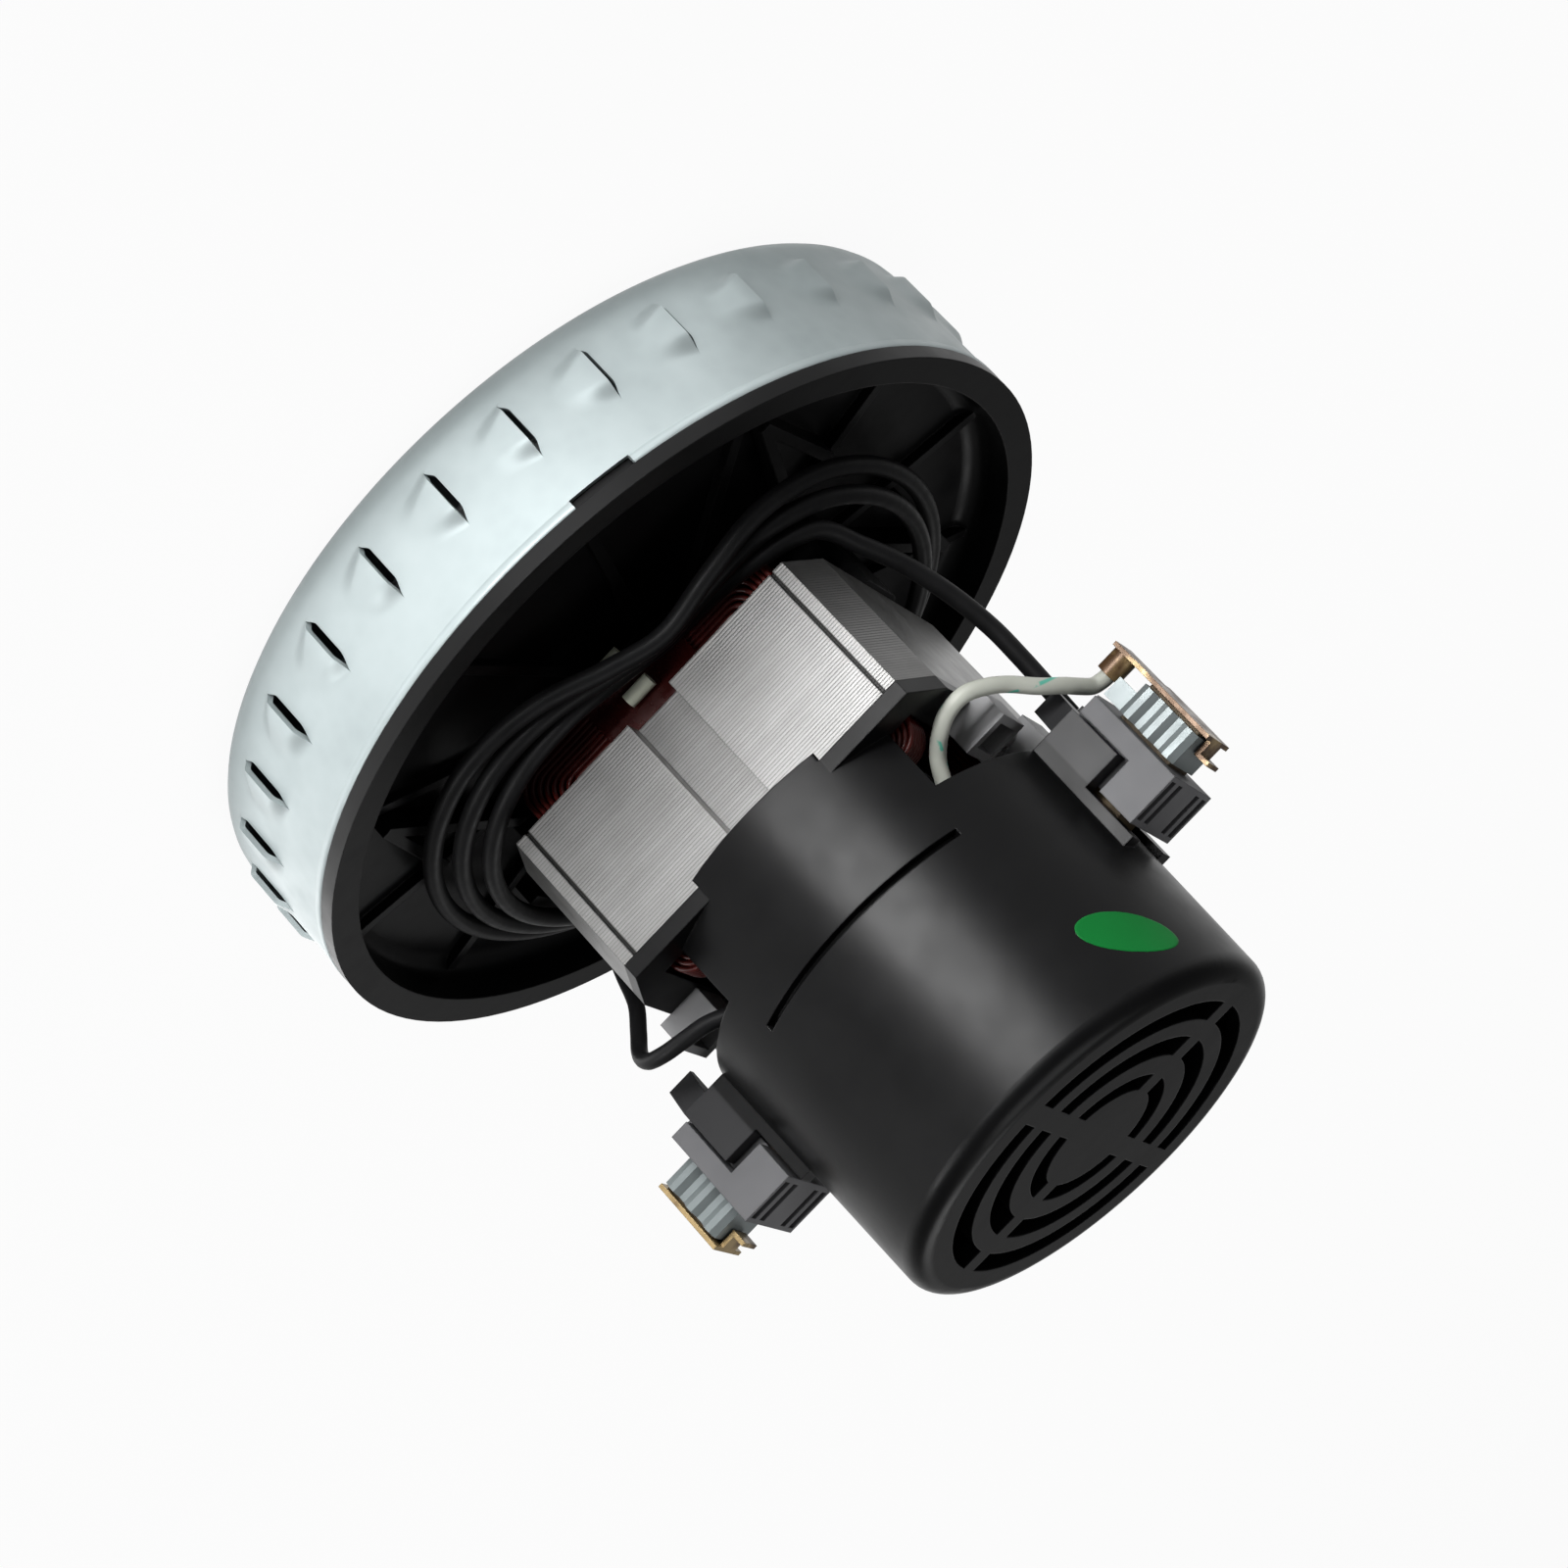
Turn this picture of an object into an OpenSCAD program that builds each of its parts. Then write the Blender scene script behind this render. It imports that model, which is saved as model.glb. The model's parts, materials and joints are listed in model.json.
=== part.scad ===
// Vacuum cleaner motor unit: a brushed motor with a centrifugal fan under a louvred steel cover.
// The Z axis is the shaft. Z = 0 is the cover's inlet face, on which the unit stands.
// +Z points to the end cap's grille, and the brushes lie along X.

/* [Fan cover] */
// Outside diameter of the pressed steel cover
cover_d = 130; // [120:1:140]
// Height of the cover's side wall
cover_h = 26; // [25:0.5:30]
// Thickness of the cover's steel sheet
sheet_t = 0.8; // [0.6:0.1:1.0]
// Outside bend radius between the inlet face and the side
cover_bend = 4; // [2.5:0.5:6]
// Diameter of the inlet eye
eye_d = 38; // [34:1:42]
// Depth of the collar turned in round the eye
collar_h = 3; // [2:0.5:3.5]
// Number of louvres round the side
louvre_n = 30; // [12:1:32]
// Length of each louvre's slit
louvre_len = 10.6; // [8:0.1:12]
// Run of each louvre's ramp round the side
louvre_run = 7.2; // [6:0.1:9]
// Width of each louvre's tail as a share of its slit
louvre_taper = 0.65; // [0.4:0.05:0.7]
// Height of each louvre's lip above the wall
louvre_lift = 1.3; // [1.1:0.1:2.4]
// Width of the slit in front of each louvre's lip
louvre_gap = 0.9; // [0.4:0.1:1.2]
// Distance from the inlet face to the middle of the louvres
louvre_z = 11.3; // [10:0.1:13]
// Angle of the first louvre's lip about the shaft
louvre_angle = -93.8; // [-100:0.1:-90]

/* [Front bracket] */
// Thickness of the flange that closes the cover's rim
flange_t = 2.6; // [2:0.1:4]
// Width of that flange
flange_w = 4.7; // [4:0.1:7]
// Distance from the inlet face to the partition's fan side
partition_z = 18.6; // [18:0.1:19.5]
// Thickness of the partition
partition_t = 2.4; // [2:0.1:3]
// Number of ribs on the partition
rib_n = 12; // [6:1:16]
// Height of the ribs above the partition
rib_h = 1.6; // [1:0.1:1.8]
// Wall round each bearing seat
seat_wall = 2.6; // [2:0.1:3.5]

/* [Stator] */
// Distance from the inlet face to the front of the stack
stack_z = 38.4; // [38:0.1:42]
// Length of the lamination stack
stack_len = 25; // [22:0.5:32]
// Width of the stack across its flats
stack_w = 62; // [60:0.5:66]
// Length of the corner bevels along the Y flats
bevel_x = 3.5; // [2:0.1:5]
// Length of the corner bevels along the X flats
bevel_y = 9; // [6:0.1:11]
// Bore of the stack
bore_d = 36.4; // [35.8:0.1:38]
// Width of the notch behind each pole
notch_w = 8.4; // [6:0.1:10]
// Depth of the notch behind each pole
notch_depth = 3.8; // [2:0.1:4.5]
// How far the field coils stand out of the stack's front
coil_front = 10.4; // [9:0.1:11]
// How far the field coils stand out of the stack's rear
coil_rear = 5.4; // [4.5:0.1:6]

/* [End bracket] */
// Distance from the inlet face to the grille's outer face
unit_h = 120.2; // [118:0.1:125]
// Outside diameter of the end cap
cap_d = 65.4; // [64.5:0.1:66]
// How far the cap widens towards its open end
cap_draft = 0.7; // [0.4:0.1:1]
// Wall thickness of the cap
cap_wall = 2.3; // [2:0.1:3]
// Edge radius of the cap
cap_round = 3; // [2:0.1:4]
// Thickness of the grille plate
grille_t = 2.6; // [2:0.1:3.5]
// Width of the grille's spokes
spoke_w = 3.6; // [3:0.1:5]
// Thickness of the frame that lies on the stack
frame_t = 2.6; // [2:0.1:3]
// Half angle of the tongues beside the stack
tongue_half = 39; // [36:0.5:42]
// Length of the windows behind the stack
window_len = 13; // [11:0.1:14]

/* [Brush gear] */
// Distance from the inlet face to the brush axis
brush_z = 85.6; // [84.5:0.1:88]
// Axial width of a carbon brush
brush_w = 8.8; // [8:0.1:9.4]
// Thickness of a carbon brush
brush_t = 6.3; // [5:0.1:7]
// Length of a carbon brush
brush_len = 24; // [20:0.5:26]
// Travel of a brush against its spring
brush_travel = 5; // [2:0.5:6]
// Half width of the brush holders
holder_half = 8.4; // [8:0.1:9]
// Height of the holders' seats above the cap
seat_h = 7.5; // [7:0.1:8.5]
// Thickness of the holders' heads
head_t = 3.1; // [2.8:0.1:4]
// How far the tubes stand out of the holders
tube_out = 6.4; // [5.8:0.1:7]
// Wall of the brass tubes
tube_wall = 0.6; // [0.5:0.05:0.8]
// Number of ridges on each tube's clip
ridge_n = 3; // [2:1:4]

/* [Rotor] */
// Diameter of the shaft in the front bearing
shaft_d = 8; // [7:0.1:9]
// Diameter of the shaft in the rear bearing
shaft_rear_d = 7; // [6:0.1:7.5]
// Diameter of the armature core
core_d = 35.4; // [34:0.1:35.5]
// Number of armature slots
slot_n = 12; // [8:1:14]
// Diameter of the commutator
comm_d = 23.4; // [20:0.1:25]
// Length of the commutator's bars
comm_len = 16; // [14:0.5:18]
// Number of commutator bars
bar_n = 24; // [16:1:28]

/* [Impeller] */
// Diameter of the impeller
impeller_d = 112; // [100:1:114]
// Height of the impeller at its rim
impeller_rim_h = 7; // [5:0.5:9]
// Number of vanes
vane_n = 9; // [6:1:11]
// Thickness of the impeller's sheet
blade_t = 0.8; // [0.6:0.1:1]

/* [Bearings] */
// Outside diameter of the front bearing
front_od = 22; // [20:0.5:24]
// Width of the front bearing
front_w = 7; // [6:0.1:8]
// Outside diameter of the rear bearing
rear_od = 19; // [17:0.5:20]
// Width of the rear bearing
rear_w = 6; // [5:0.1:7]
// Number of balls in each bearing
ball_n = 7; // [6:1:8]

/* [Leads] */
// Diameter of the black lead
lead_d = 2.9; // [2.4:0.1:3]
// Diameter of the white lead
white_d = 2.5; // [2.4:0.1:3]
// Diameter of the link lead
link_d = 2.5; // [2:0.1:2.8]
// Turns of the black lead round the bowl
lead_turns = 2.75; // [1.75:1:2.75]
// Radius of the outermost turn
lead_r = 48.5; // [47.5:0.5:50]

/* [Hidden] */
$fn = 64;
eps = 0.01;
// Clearance of pieces that are pushed together
seat_gap = 0.05;
// Clearance of pieces that are slid together
slip_gap = 0.15;
// Clearance of pieces that turn or slide past each other
run_gap = 0.3;
// Clearance of a bearing's balls in their grooves
ball_gap = 0.07;

cover_r = cover_d / 2;
cover_in = cover_r - sheet_t;
eye_r = eye_d / 2;
rim_bead = 0.25;
rim_band = 1.4;
rim_notch_w = 10.2;
rim_notch_depth = 1.7;
rim_notch_angle = -109;

bowl_r = cover_r + 0.2 - flange_w;
floor_z = partition_z + partition_t;
front_bearing_z = floor_z - 0.4;
front_seat_r = front_od / 2 + seat_gap;
front_hub_r = front_seat_r + seat_wall;
rib_t = 1.8;
stay_h = 4;
post_w = 7.4;
post_l = 13;
screw_x = stack_w / 2 - 2.9;
screw_d = 4;
screw_core_d = 3.4;
screw_bite = 11;

cap_r = cap_d / 2;
cap_in = cap_r - cap_wall;

stack_half = stack_w / 2;
stack_end = stack_z + stack_len;
bore_r = bore_d / 2;
shoe_r = bore_r + 2.6;
shoe_y = 9.6;
pole_half = 13;
yoke_t = 6;
window_half = stack_half - yoke_t;
groove_inset = 5.7;
coil_gap = 0.6;
coil_in_x = pole_half + coil_gap;
coil_out_x = window_half - coil_gap;
coil_in_y = shoe_r * 0.86;
coil_out_y = min(window_half - coil_gap, cap_in * cos(tongue_half) - run_gap);
coil_bend = 4;
coil_mid = [18, (coil_in_y + coil_out_y) / 2];
film_t = 0.3;
film_reach = 2.5;
film_half = 9;

cap_open_r = cap_r + cap_draft;
tongue_z = stack_end - 1.4;
groove_z = 83.5;
groove_w = 1.2;
groove_half = 35;
groove_depth = 1.2;
frame_z = stack_end + frame_t;
window_end = stack_end + window_len;
grille_in = unit_h - grille_t;
hub_r = 9.3;
slot_rings = [[hub_r, 12.3], [16, 19.6], [22.8, 26.3]];
rear_seat_r = rear_od / 2 + seat_gap;
rear_hub_r = rear_seat_r + seat_wall - 0.4;
rear_bearing_z = grille_in - rear_w - 1.6;

rail_x = cap_r + 1.1;
cheek_x = cap_r + seat_h;
cheek_z = [brush_z - 9.4, brush_z + 0.2];
rail_z = [brush_z - 14.1, brush_z + 10.4];
wing_x = rail_x + 2;
wing_slope = 2;
holder_z = [brush_z - 8.3, brush_z + 8.7];
holder_gap_x = 0.5;
holder_gap_z = 1.9;
holder_gap_rail = 1;
holder_x = cheek_x + holder_gap_x + head_t;
tube_x = holder_x + tube_out;
holder_in = 20;

brush_gap = 0.1;
comm_r = comm_d / 2;
brush_in = comm_r + brush_gap;
brush_out = brush_in + brush_len;
tube_in_w = brush_w + 2 * 0.1;
tube_in_t = brush_t + 2 * 0.1;
tube_w = tube_in_w + 2 * tube_wall;
tube_t = tube_in_t + 2 * tube_wall;
tube_start = comm_r + 2;
clip_t = 0.5;
clip_x = [holder_x + 0.6, tube_x - 0.5];
ridge_h = 0.7;
cap_plate_t = 0.7;
cap_half = 4.6;
tab_drop = 3.6;
foot_len = 2.6;
crimp_r = 2;
crimp_bore = white_d / 2 + seat_gap;
spring_r = 2.2;
spring_wire = 0.7;
spring_turns = 9;

shaft_r = shaft_d / 2;
shaft_rear_r = shaft_rear_d / 2;
core_r = core_d / 2;
shaft_start = 3;
shaft_end = rear_bearing_z + rear_w + 0.6;
winding_r = bore_r - 2.4;
winding_in = 7.6;
winding_front = stack_z - 8;
winding_rear = stack_end + 8.6;
comm_hub_r = 7.2;
comm_z = brush_z - comm_len / 2;
riser_h = 2.4;
riser_r = comm_r + 1.4;
bar_gap = 0.5;

impeller_r = impeller_d / 2;
impeller_eye_r = eye_r - 2.2;
impeller_back_z = partition_z - 2.4;
impeller_front_z = impeller_back_z - impeller_rim_h;
impeller_neck_z = collar_h + 1.6;
plate_slope = (impeller_front_z - impeller_neck_z - 2 * blade_t) / (impeller_r - impeller_eye_r);
vane_in = eye_r + 3;
vane_bow = impeller_r * 0.62;
washer_r = 9;
washer_t = 1.2;
nut_af = 13;
nut_h = 5;

// Points on a Catmull-Rom curve through a list of points
function curve_point(a, b, c, d, t) =
    0.5 * (2 * b + (c - a) * t + (2 * a - 5 * b + 4 * c - d) * t * t + (3 * b - a - 3 * c + d) * t * t * t);
function at(list, i) = list[max(0, min(len(list) - 1, i))];
function smooth(list, steps) = concat(
    [for (i = [0:len(list) - 2], s = [0:steps - 1])
        curve_point(at(list, i - 1), list[i], list[i + 1], at(list, i + 2), s / steps)],
    [list[len(list) - 1]]
);

// The first and last stretches of a smoothed path, made straight
function straight_ends(path, steps) = let (last = len(path) - 1)
    [for (i = [0:last]) if (i == 0 || i == last || (i >= steps && i <= last - steps)) path[i]];

// Frames carried along a path without twist
function unit(v) = v / norm(v);
function heading(path, i) = unit(at(path, i + 1) - at(path, i - 1));
function flatten_on(v, t) = unit(v - (v * t) * t);
function side_vectors(path, i = 0, found = []) =
    i == len(path) ? found :
    let (t = heading(path, i), start = abs(t.z) < 0.8 ? [0, 0, 1] : [1, 0, 0])
    side_vectors(path, i + 1, concat(found, [flatten_on(i == 0 ? start : found[i - 1], t)]));

// A round tube along a path, as one closed skin of triangles
module tube(path, r, sides) {
    across = side_vectors(path);
    rings = [for (i = [0:len(path) - 1], k = [0:sides - 1])
        let (u = across[i], v = cross(heading(path, i), u), a = 360 * k / sides)
        path[i] + r * (cos(a) * u + sin(a) * v)];
    last = len(path) - 1;
    walls = [for (i = [0:last - 1], k = [0:sides - 1], half = [0:1])
        let (n = (k + 1) % sides, a = i * sides + k, b = i * sides + n)
        half == 0 ? [a, a + sides, b] : [b, a + sides, b + sides]];
    foot = last * sides;
    start_cap = [for (k = [1:sides - 2]) [0, k, k + 1]];
    end_cap = [for (k = [1:sides - 2]) [foot, foot + k + 1, foot + k]];
    polyhedron(points = rings, faces = concat(walls, start_cap, end_cap), convexity = 10);
}

// Least clear distance between stretches of one path that lie further apart along it than skip points
function self_gap(path, d, skip) = min([for (i = [0:len(path) - 1], j = [i:len(path) - 1])
    if (j - i > skip) norm(path[i] - path[j])]) - d;

// Ring between two radii
module ring(r_out, r_in, h) {
    difference() {
        cylinder(r = r_out, h = h);
        translate([0, 0, -eps]) cylinder(r = r_in, h = h + 2 * eps);
    }
}

// Sector of the plane between two angles less than a half turn apart
module sector(r, from, to) {
    mid = (from + to) / 2;
    polygon([[0, 0], r * [cos(from), sin(from)], 1.5 * r * [cos(mid), sin(mid)], r * [cos(to), sin(to)]]);
}

// Rectangle with round corners about its centre
module round_rect(w, h, r) {
    square([w - 2 * r, h], center = true);
    square([w, h - 2 * r], center = true);
    for (x = [-1, 1], y = [-1, 1]) translate([x * (w / 2 - r), y * (h / 2 - r)]) circle(r);
}

// A block between two corners
module block(low, high) {
    translate(low) cube(high - low);
}

// Both sides of the shaft along X
module both_sides() {
    children();
    mirror([1, 0, 0]) children();
}

// Half section of a dished sheet's outside, bent round at its foot
module dish_section(r, h, bend) {
    square([r - bend, h]);
    translate([0, bend]) square([r, h - bend]);
    translate([r - bend, bend]) circle(bend);
}

module cover_section() {
    difference() {
        dish_section(cover_r, cover_h, cover_bend);
        translate([0, sheet_t]) dish_section(cover_in, cover_h, cover_bend - sheet_t);
        square([eye_r, cover_h]);
        translate([cover_r, cover_h - rim_band]) square([1, 1]);
    }
    translate([eye_r, 0]) square([sheet_t, collar_h]);
    translate([cover_in, cover_h - rim_band]) square([sheet_t + rim_bead, rim_band]);
}

// One louvre's hipped wedge: its lip stands at y = 0, its top falls along +Y and both its ends slope in
module louvre_wedge(inset, foot) {
    slit = inset > 0 ? -louvre_gap : 0;
    run = louvre_run - 2 * inset;
    lip = cover_r + louvre_lift - inset;
    base = cover_r - foot;
    tail = sqrt(cover_r * cover_r - run * run) - 0.3 - 0.8 * inset;
    half_lip = louvre_len / 2 - louvre_lift / 2 - inset / 2;
    half_base = louvre_len / 2 + 0.2 - inset / 2;
    half_tail = louvre_len * louvre_taper / 2 - inset / 2;
    rise = (lip - base) / (lip - cover_r + inset + 0.3);
    spread = half_lip + (half_base - half_lip) * rise;
    polyhedron(
        points = [
            [lip, slit, -half_lip], [lip, slit, half_lip], [base, slit, -spread], [base, slit, spread],
            [tail, run, -half_tail], [tail, run, half_tail], [base, run, -half_tail], [base, run, half_tail]
        ],
        faces = [
            [0, 1, 5, 4], [0, 2, 3, 1], [2, 6, 7, 3], [4, 5, 7, 6], [0, 4, 2], [4, 6, 2], [1, 3, 5], [5, 3, 7]
        ]
    );
}

module at_louvres() {
    for (k = [0:louvre_n - 1])
        rotate(louvre_angle + k * 360 / louvre_n) translate([0, 0, louvre_z]) children();
}

module fan_cover() {
    color([0.66, 0.71, 0.73]) difference() {
        union() {
            rotate_extrude($fn = 96) cover_section();
            at_louvres() louvre_wedge(0, sheet_t * 0.9);
        }
        at_louvres() louvre_wedge(sheet_t, 2 * sheet_t);
        for (turn = [0, 180])
            rotate(rim_notch_angle + turn)
                block([cover_in - 1, -rim_notch_w / 2, cover_h - rim_notch_depth],
                    [cover_r + 2, rim_notch_w / 2, cover_h + 1]);
    }
}

module bracket_section() {
    spigot_r = cover_in - slip_gap;
    translate([front_seat_r, partition_z]) square([spigot_r - front_seat_r, partition_t]);
    translate([bowl_r, partition_z]) square([spigot_r - bowl_r, cover_h + flange_t - partition_z]);
    translate([bowl_r, cover_h]) square([flange_w, flange_t]);
    translate([front_seat_r, partition_z]) square([seat_wall, front_bearing_z + front_w - partition_z]);
    translate([front_seat_r - 2, partition_z]) square([2 + eps, front_bearing_z - partition_z]);
    translate([bowl_r - 3, floor_z - eps]) difference() {
        square([3 + eps, 3]);
        translate([0, 3]) circle(3);
    }
}

module front_bracket() {
    color([0.07, 0.07, 0.075]) difference() {
        union() {
            rotate_extrude($fn = 96) bracket_section();
            for (k = [0:rib_n - 1])
                rotate((k + 0.5) * 360 / rib_n)
                    block([front_hub_r - 0.5, -rib_t / 2, floor_z - eps],
                        [bowl_r + 0.5, rib_t / 2, floor_z + rib_h]);
            both_sides() translate([screw_x, 0, floor_z - eps])
                linear_extrude(height = stack_z - floor_z + eps) round_rect(post_w, post_l, 2);
            for (x = [-1, 1], y = [-1, 1]) scale([x, y, 1]) post_stays();
        }
        both_sides() translate([screw_x, 0, stack_z - screw_bite])
            cylinder(d = screw_core_d, h = screw_bite + 1);
    }
}

// Stays from one post towards the bowl's wall
stay_route = [[28.6, 3], [39.4, 36], [41, 15]];
module post_stays() {
    for (i = [0, 1]) {
        run = stay_route[i + 1] - stay_route[i];
        translate([stay_route[i].x, stay_route[i].y, floor_z - eps]) rotate(atan2(run.y, run.x))
            block([0, -rib_t / 2, 0], [norm(run), rib_t / 2, stay_h]);
    }
}

// Outline of one stator lamination
module stack_outline(grow = 0) {
    a = stack_half + grow;
    polygon([for (q = [[1, 1], [1, -1], [-1, -1], [-1, 1]], p = q[0] * q[1] > 0 ? [0, 1] : [1, 0])
        [q[0] * (p == 0 ? a - bevel_x : a), q[1] * (p == 0 ? a : a - bevel_y)]]);
}

module lamination() {
    difference() {
        stack_outline();
        difference() {
            square(2 * window_half, center = true);
            for (y = [-1, 1]) translate([-pole_half, y > 0 ? shoe_y : -window_half - shoe_y])
                square([2 * pole_half, window_half]);
            intersection() {
                circle(shoe_r);
                for (y = [-1, 1])
                    translate([-shoe_r, y > 0 ? shoe_y : -shoe_y - shoe_r]) square([2 * shoe_r, shoe_r]);
            }
        }
        circle(bore_r);
        for (y = [-1, 1]) {
            translate([0, y * stack_half]) square([notch_w, 2 * notch_depth], center = true);
            for (x = [-1, 1])
                translate([x * (stack_half - groove_inset), y * stack_half]) square([0.5, 1], center = true);
        }
        both_sides() translate([screw_x, 0]) circle(d = screw_d + 2 * slip_gap);
    }
}

module stator_core() {
    color([0.72, 0.72, 0.71]) translate([0, 0, stack_z]) linear_extrude(height = stack_len) lamination();
}

// One field coil round the pole on the +Y side
coil_z = [stack_z - coil_front, stack_end + coil_rear];
module field_coil() {
    deep = coil_out_y - coil_in_y;
    translate([0, coil_in_y, 0]) rotate([-90, 0, 0]) linear_extrude(height = deep) difference() {
        translate([0, -(coil_z[0] + coil_z[1]) / 2])
            round_rect(2 * coil_out_x, coil_z[1] - coil_z[0], coil_bend);
        translate([0, -(stack_z + stack_end) / 2])
            square([2 * coil_in_x, stack_len + 2 * coil_gap], center = true);
    }
}

module field_coil_near() {
    color([0.55, 0.25, 0.12]) mirror([0, 1, 0]) field_coil();
}

module field_coil_far() {
    color([0.55, 0.25, 0.12]) field_coil();
}

// Red film wrapped round the middle of each coil's end turns
module slot_liners() {
    wide = coil_out_y - coil_in_y + 2 * seat_gap;
    color([0.62, 0.08, 0.07])
    for (y = [-1, 1], turn = [[coil_z[0], stack_z - coil_gap], [stack_end + coil_gap, coil_z[1]]])
        translate([0, y * (coil_in_y + coil_out_y) / 2, 0]) difference() {
            block([-film_half, -wide / 2 - film_t, turn[0] - seat_gap - film_t],
                [film_half, wide / 2 + film_t, turn[1] + seat_gap + film_t]);
            block([-film_half - 1, -wide / 2, turn[0] - seat_gap],
                [film_half + 1, wide / 2, turn[1] + seat_gap]);
        }
}

module cap_section() {
    shoulder = unit_h - cap_round;
    difference() {
        union() {
            polygon([[cap_in, tongue_z], [cap_open_r, tongue_z], [cap_r, shoulder], [cap_in, shoulder]]);
            translate([0, shoulder - eps]) square([cap_r - cap_round, cap_round + eps]);
            translate([cap_r - cap_round, shoulder]) circle(cap_round);
        }
        translate([-1, -1]) square([cap_in + 1, grille_in + 1]);
    }
}

// The slots of the grille, cut by four spokes
module grille_slots() {
    for (pair = slot_rings) difference() {
        circle(pair[1]);
        circle(pair[0]);
        square([2 * cap_r, spoke_w], center = true);
        square([spoke_w, 2 * cap_r], center = true);
    }
}

// The frame on the stack, with room for the coils
module frame_plate() {
    difference() {
        stack_outline();
        square([2 * window_half, 2 * window_half], center = true);
        both_sides() translate([screw_x, 0]) circle(d = screw_d + 2 * slip_gap);
    }
}

// The seat of one brush holder on the +X side
module holder_seat() {
    for (y = [-1, 1]) scale([1, y, 1]) {
        block([cap_in + 0.5, 5.2, cheek_z[0]], [cheek_x, holder_half, cheek_z[1]]);
        block([cap_in - 0.4, 5.2, window_end], [rail_x, holder_half, rail_z[1]]);
        translate([0, 0, rail_z[0]]) rotate([90, 0, 0]) rotate([0, 90, 0]) translate([0, 0, wing_x])
            linear_extrude(height = cheek_x - wing_x)
                polygon([
                    [-5.2, 0], [-5.2, cheek_z[0] - rail_z[0] + eps],
                    [-holder_half, cheek_z[0] - rail_z[0] + eps], [wing_slope - holder_half, 0]
                ]);
    }
}

module end_bracket() {
    color([0.06, 0.06, 0.065]) difference() {
        union() {
            difference() {
                rotate_extrude($fn = 96) cap_section();
                translate([0, 0, tongue_z - 1]) linear_extrude(height = window_end - tongue_z + 1)
                    for (turn = [0, 180]) rotate(turn) sector(2 * cap_r, tongue_half - 90, 90 - tongue_half);
                translate([0, 0, tongue_z - 1]) linear_extrude(height = stack_end - tongue_z + 1)
                    stack_outline(seat_gap);
                for (turn = [90, 270])
                    rotate(turn) translate([0, 0, groove_z]) linear_extrude(height = groove_w)
                    difference() {
                        sector(2 * cap_r, -groove_half, groove_half);
                        circle(cap_r - groove_depth);
                    }
            }
            translate([0, 0, stack_end]) linear_extrude(height = frame_t) frame_plate();
            both_sides() holder_seat();
            translate([0, 0, rear_bearing_z]) ring(rear_hub_r, rear_seat_r, grille_in - rear_bearing_z + eps);
            bearing_arms();
        }
        translate([0, 0, grille_in - 1]) linear_extrude(height = grille_t + 2) grille_slots();
        both_sides() block([cap_in - 4, -tube_t / 2 - slip_gap, brush_z - tube_w / 2 - slip_gap],
            [rail_x + 1, tube_t / 2 + slip_gap, brush_z + tube_w / 2 + slip_gap]);
        translate([0, 0, rear_bearing_z - 1]) cylinder(r = rear_seat_r, h = rear_w + 1);
    }
}

// Arms that carry the rear bearing's seat from the cap's wall
module bearing_arms() {
    arm_t = 2.4;
    for (turn = [0, 90, 180, 270])
        rotate(turn) block([rear_hub_r - 0.5, -arm_t / 2, rear_bearing_z],
            [cap_in + 0.5, arm_t / 2, grille_in + eps]);
}

// Screws from the end bracket's frame through the stack into the front bracket's posts
module stator_screws() {
    head_h = 2.6;
    color([0.7, 0.7, 0.68]) both_sides() translate([screw_x, 0, 0]) {
        translate([0, 0, stack_z - screw_bite + 1]) cylinder(d = screw_core_d - 2 * seat_gap, h = screw_bite);
        translate([0, 0, stack_z]) cylinder(d = screw_d, h = frame_z - stack_z);
        difference() {
            translate([0, 0, frame_z]) cylinder(d = 7, h = head_h);
            translate([0, 0, frame_z + head_h - 1.2]) block([-3, -0.5, 0], [3, 0.5, 2]);
            translate([0, 0, frame_z + head_h - 1.2]) block([-0.5, -3, 0], [0.5, 3, 2]);
        }
    }
}

// Sockets on the frame for the coils' ends
module terminal_block() {
    for (y = [-1, 1]) scale([1, y, 1]) difference() {
        block([window_half + 0.6, 4.6, frame_z], [stack_half + 2.2, 13, rail_z[0] - run_gap]);
        block([window_half + 2, 6, frame_z + 1.6], [stack_half + 0.8, 11.6, rail_z[0] + 1]);
    }
}

module terminal_block_left() {
    color([0.2, 0.2, 0.21]) mirror([1, 0, 0]) terminal_block();
}

module terminal_block_right() {
    color([0.2, 0.2, 0.21]) terminal_block();
}

// One brush holder on the +X side: a head over the seat's cheeks and a shank round the tube
module brush_holder() {
    head_in = cheek_x + holder_gap_x;
    heel_z = cheek_z[1] + holder_gap_z;
    difference() {
        union() {
            block([head_in, -holder_half, holder_z[0]], [holder_x, holder_half, holder_z[1]]);
            block([rail_x + holder_gap_rail, -holder_half, heel_z], [holder_x, holder_half, holder_z[1]]);
            block([rail_x + holder_gap_rail, -5.2 + slip_gap, cheek_z[0]],
                [holder_x, 5.2 - slip_gap, holder_z[1]]);
        }
        block([holder_in, -tube_t / 2 - seat_gap, brush_z - tube_w / 2 - seat_gap],
            [holder_x + 1, tube_t / 2 + seat_gap, brush_z + tube_w / 2 + seat_gap]);
        for (y = [-6.9, -3.9, 3.9, 6.9])
            block([rail_x + 2, y - 0.8, holder_z[1] - 1.4], [holder_x - 0.8, y + 0.8, holder_z[1] + 1]);
    }
}

module brush_holder_left() {
    color([0.19, 0.19, 0.2]) mirror([1, 0, 0]) brush_holder();
}

module brush_holder_right() {
    color([0.19, 0.19, 0.2]) brush_holder();
}

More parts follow.
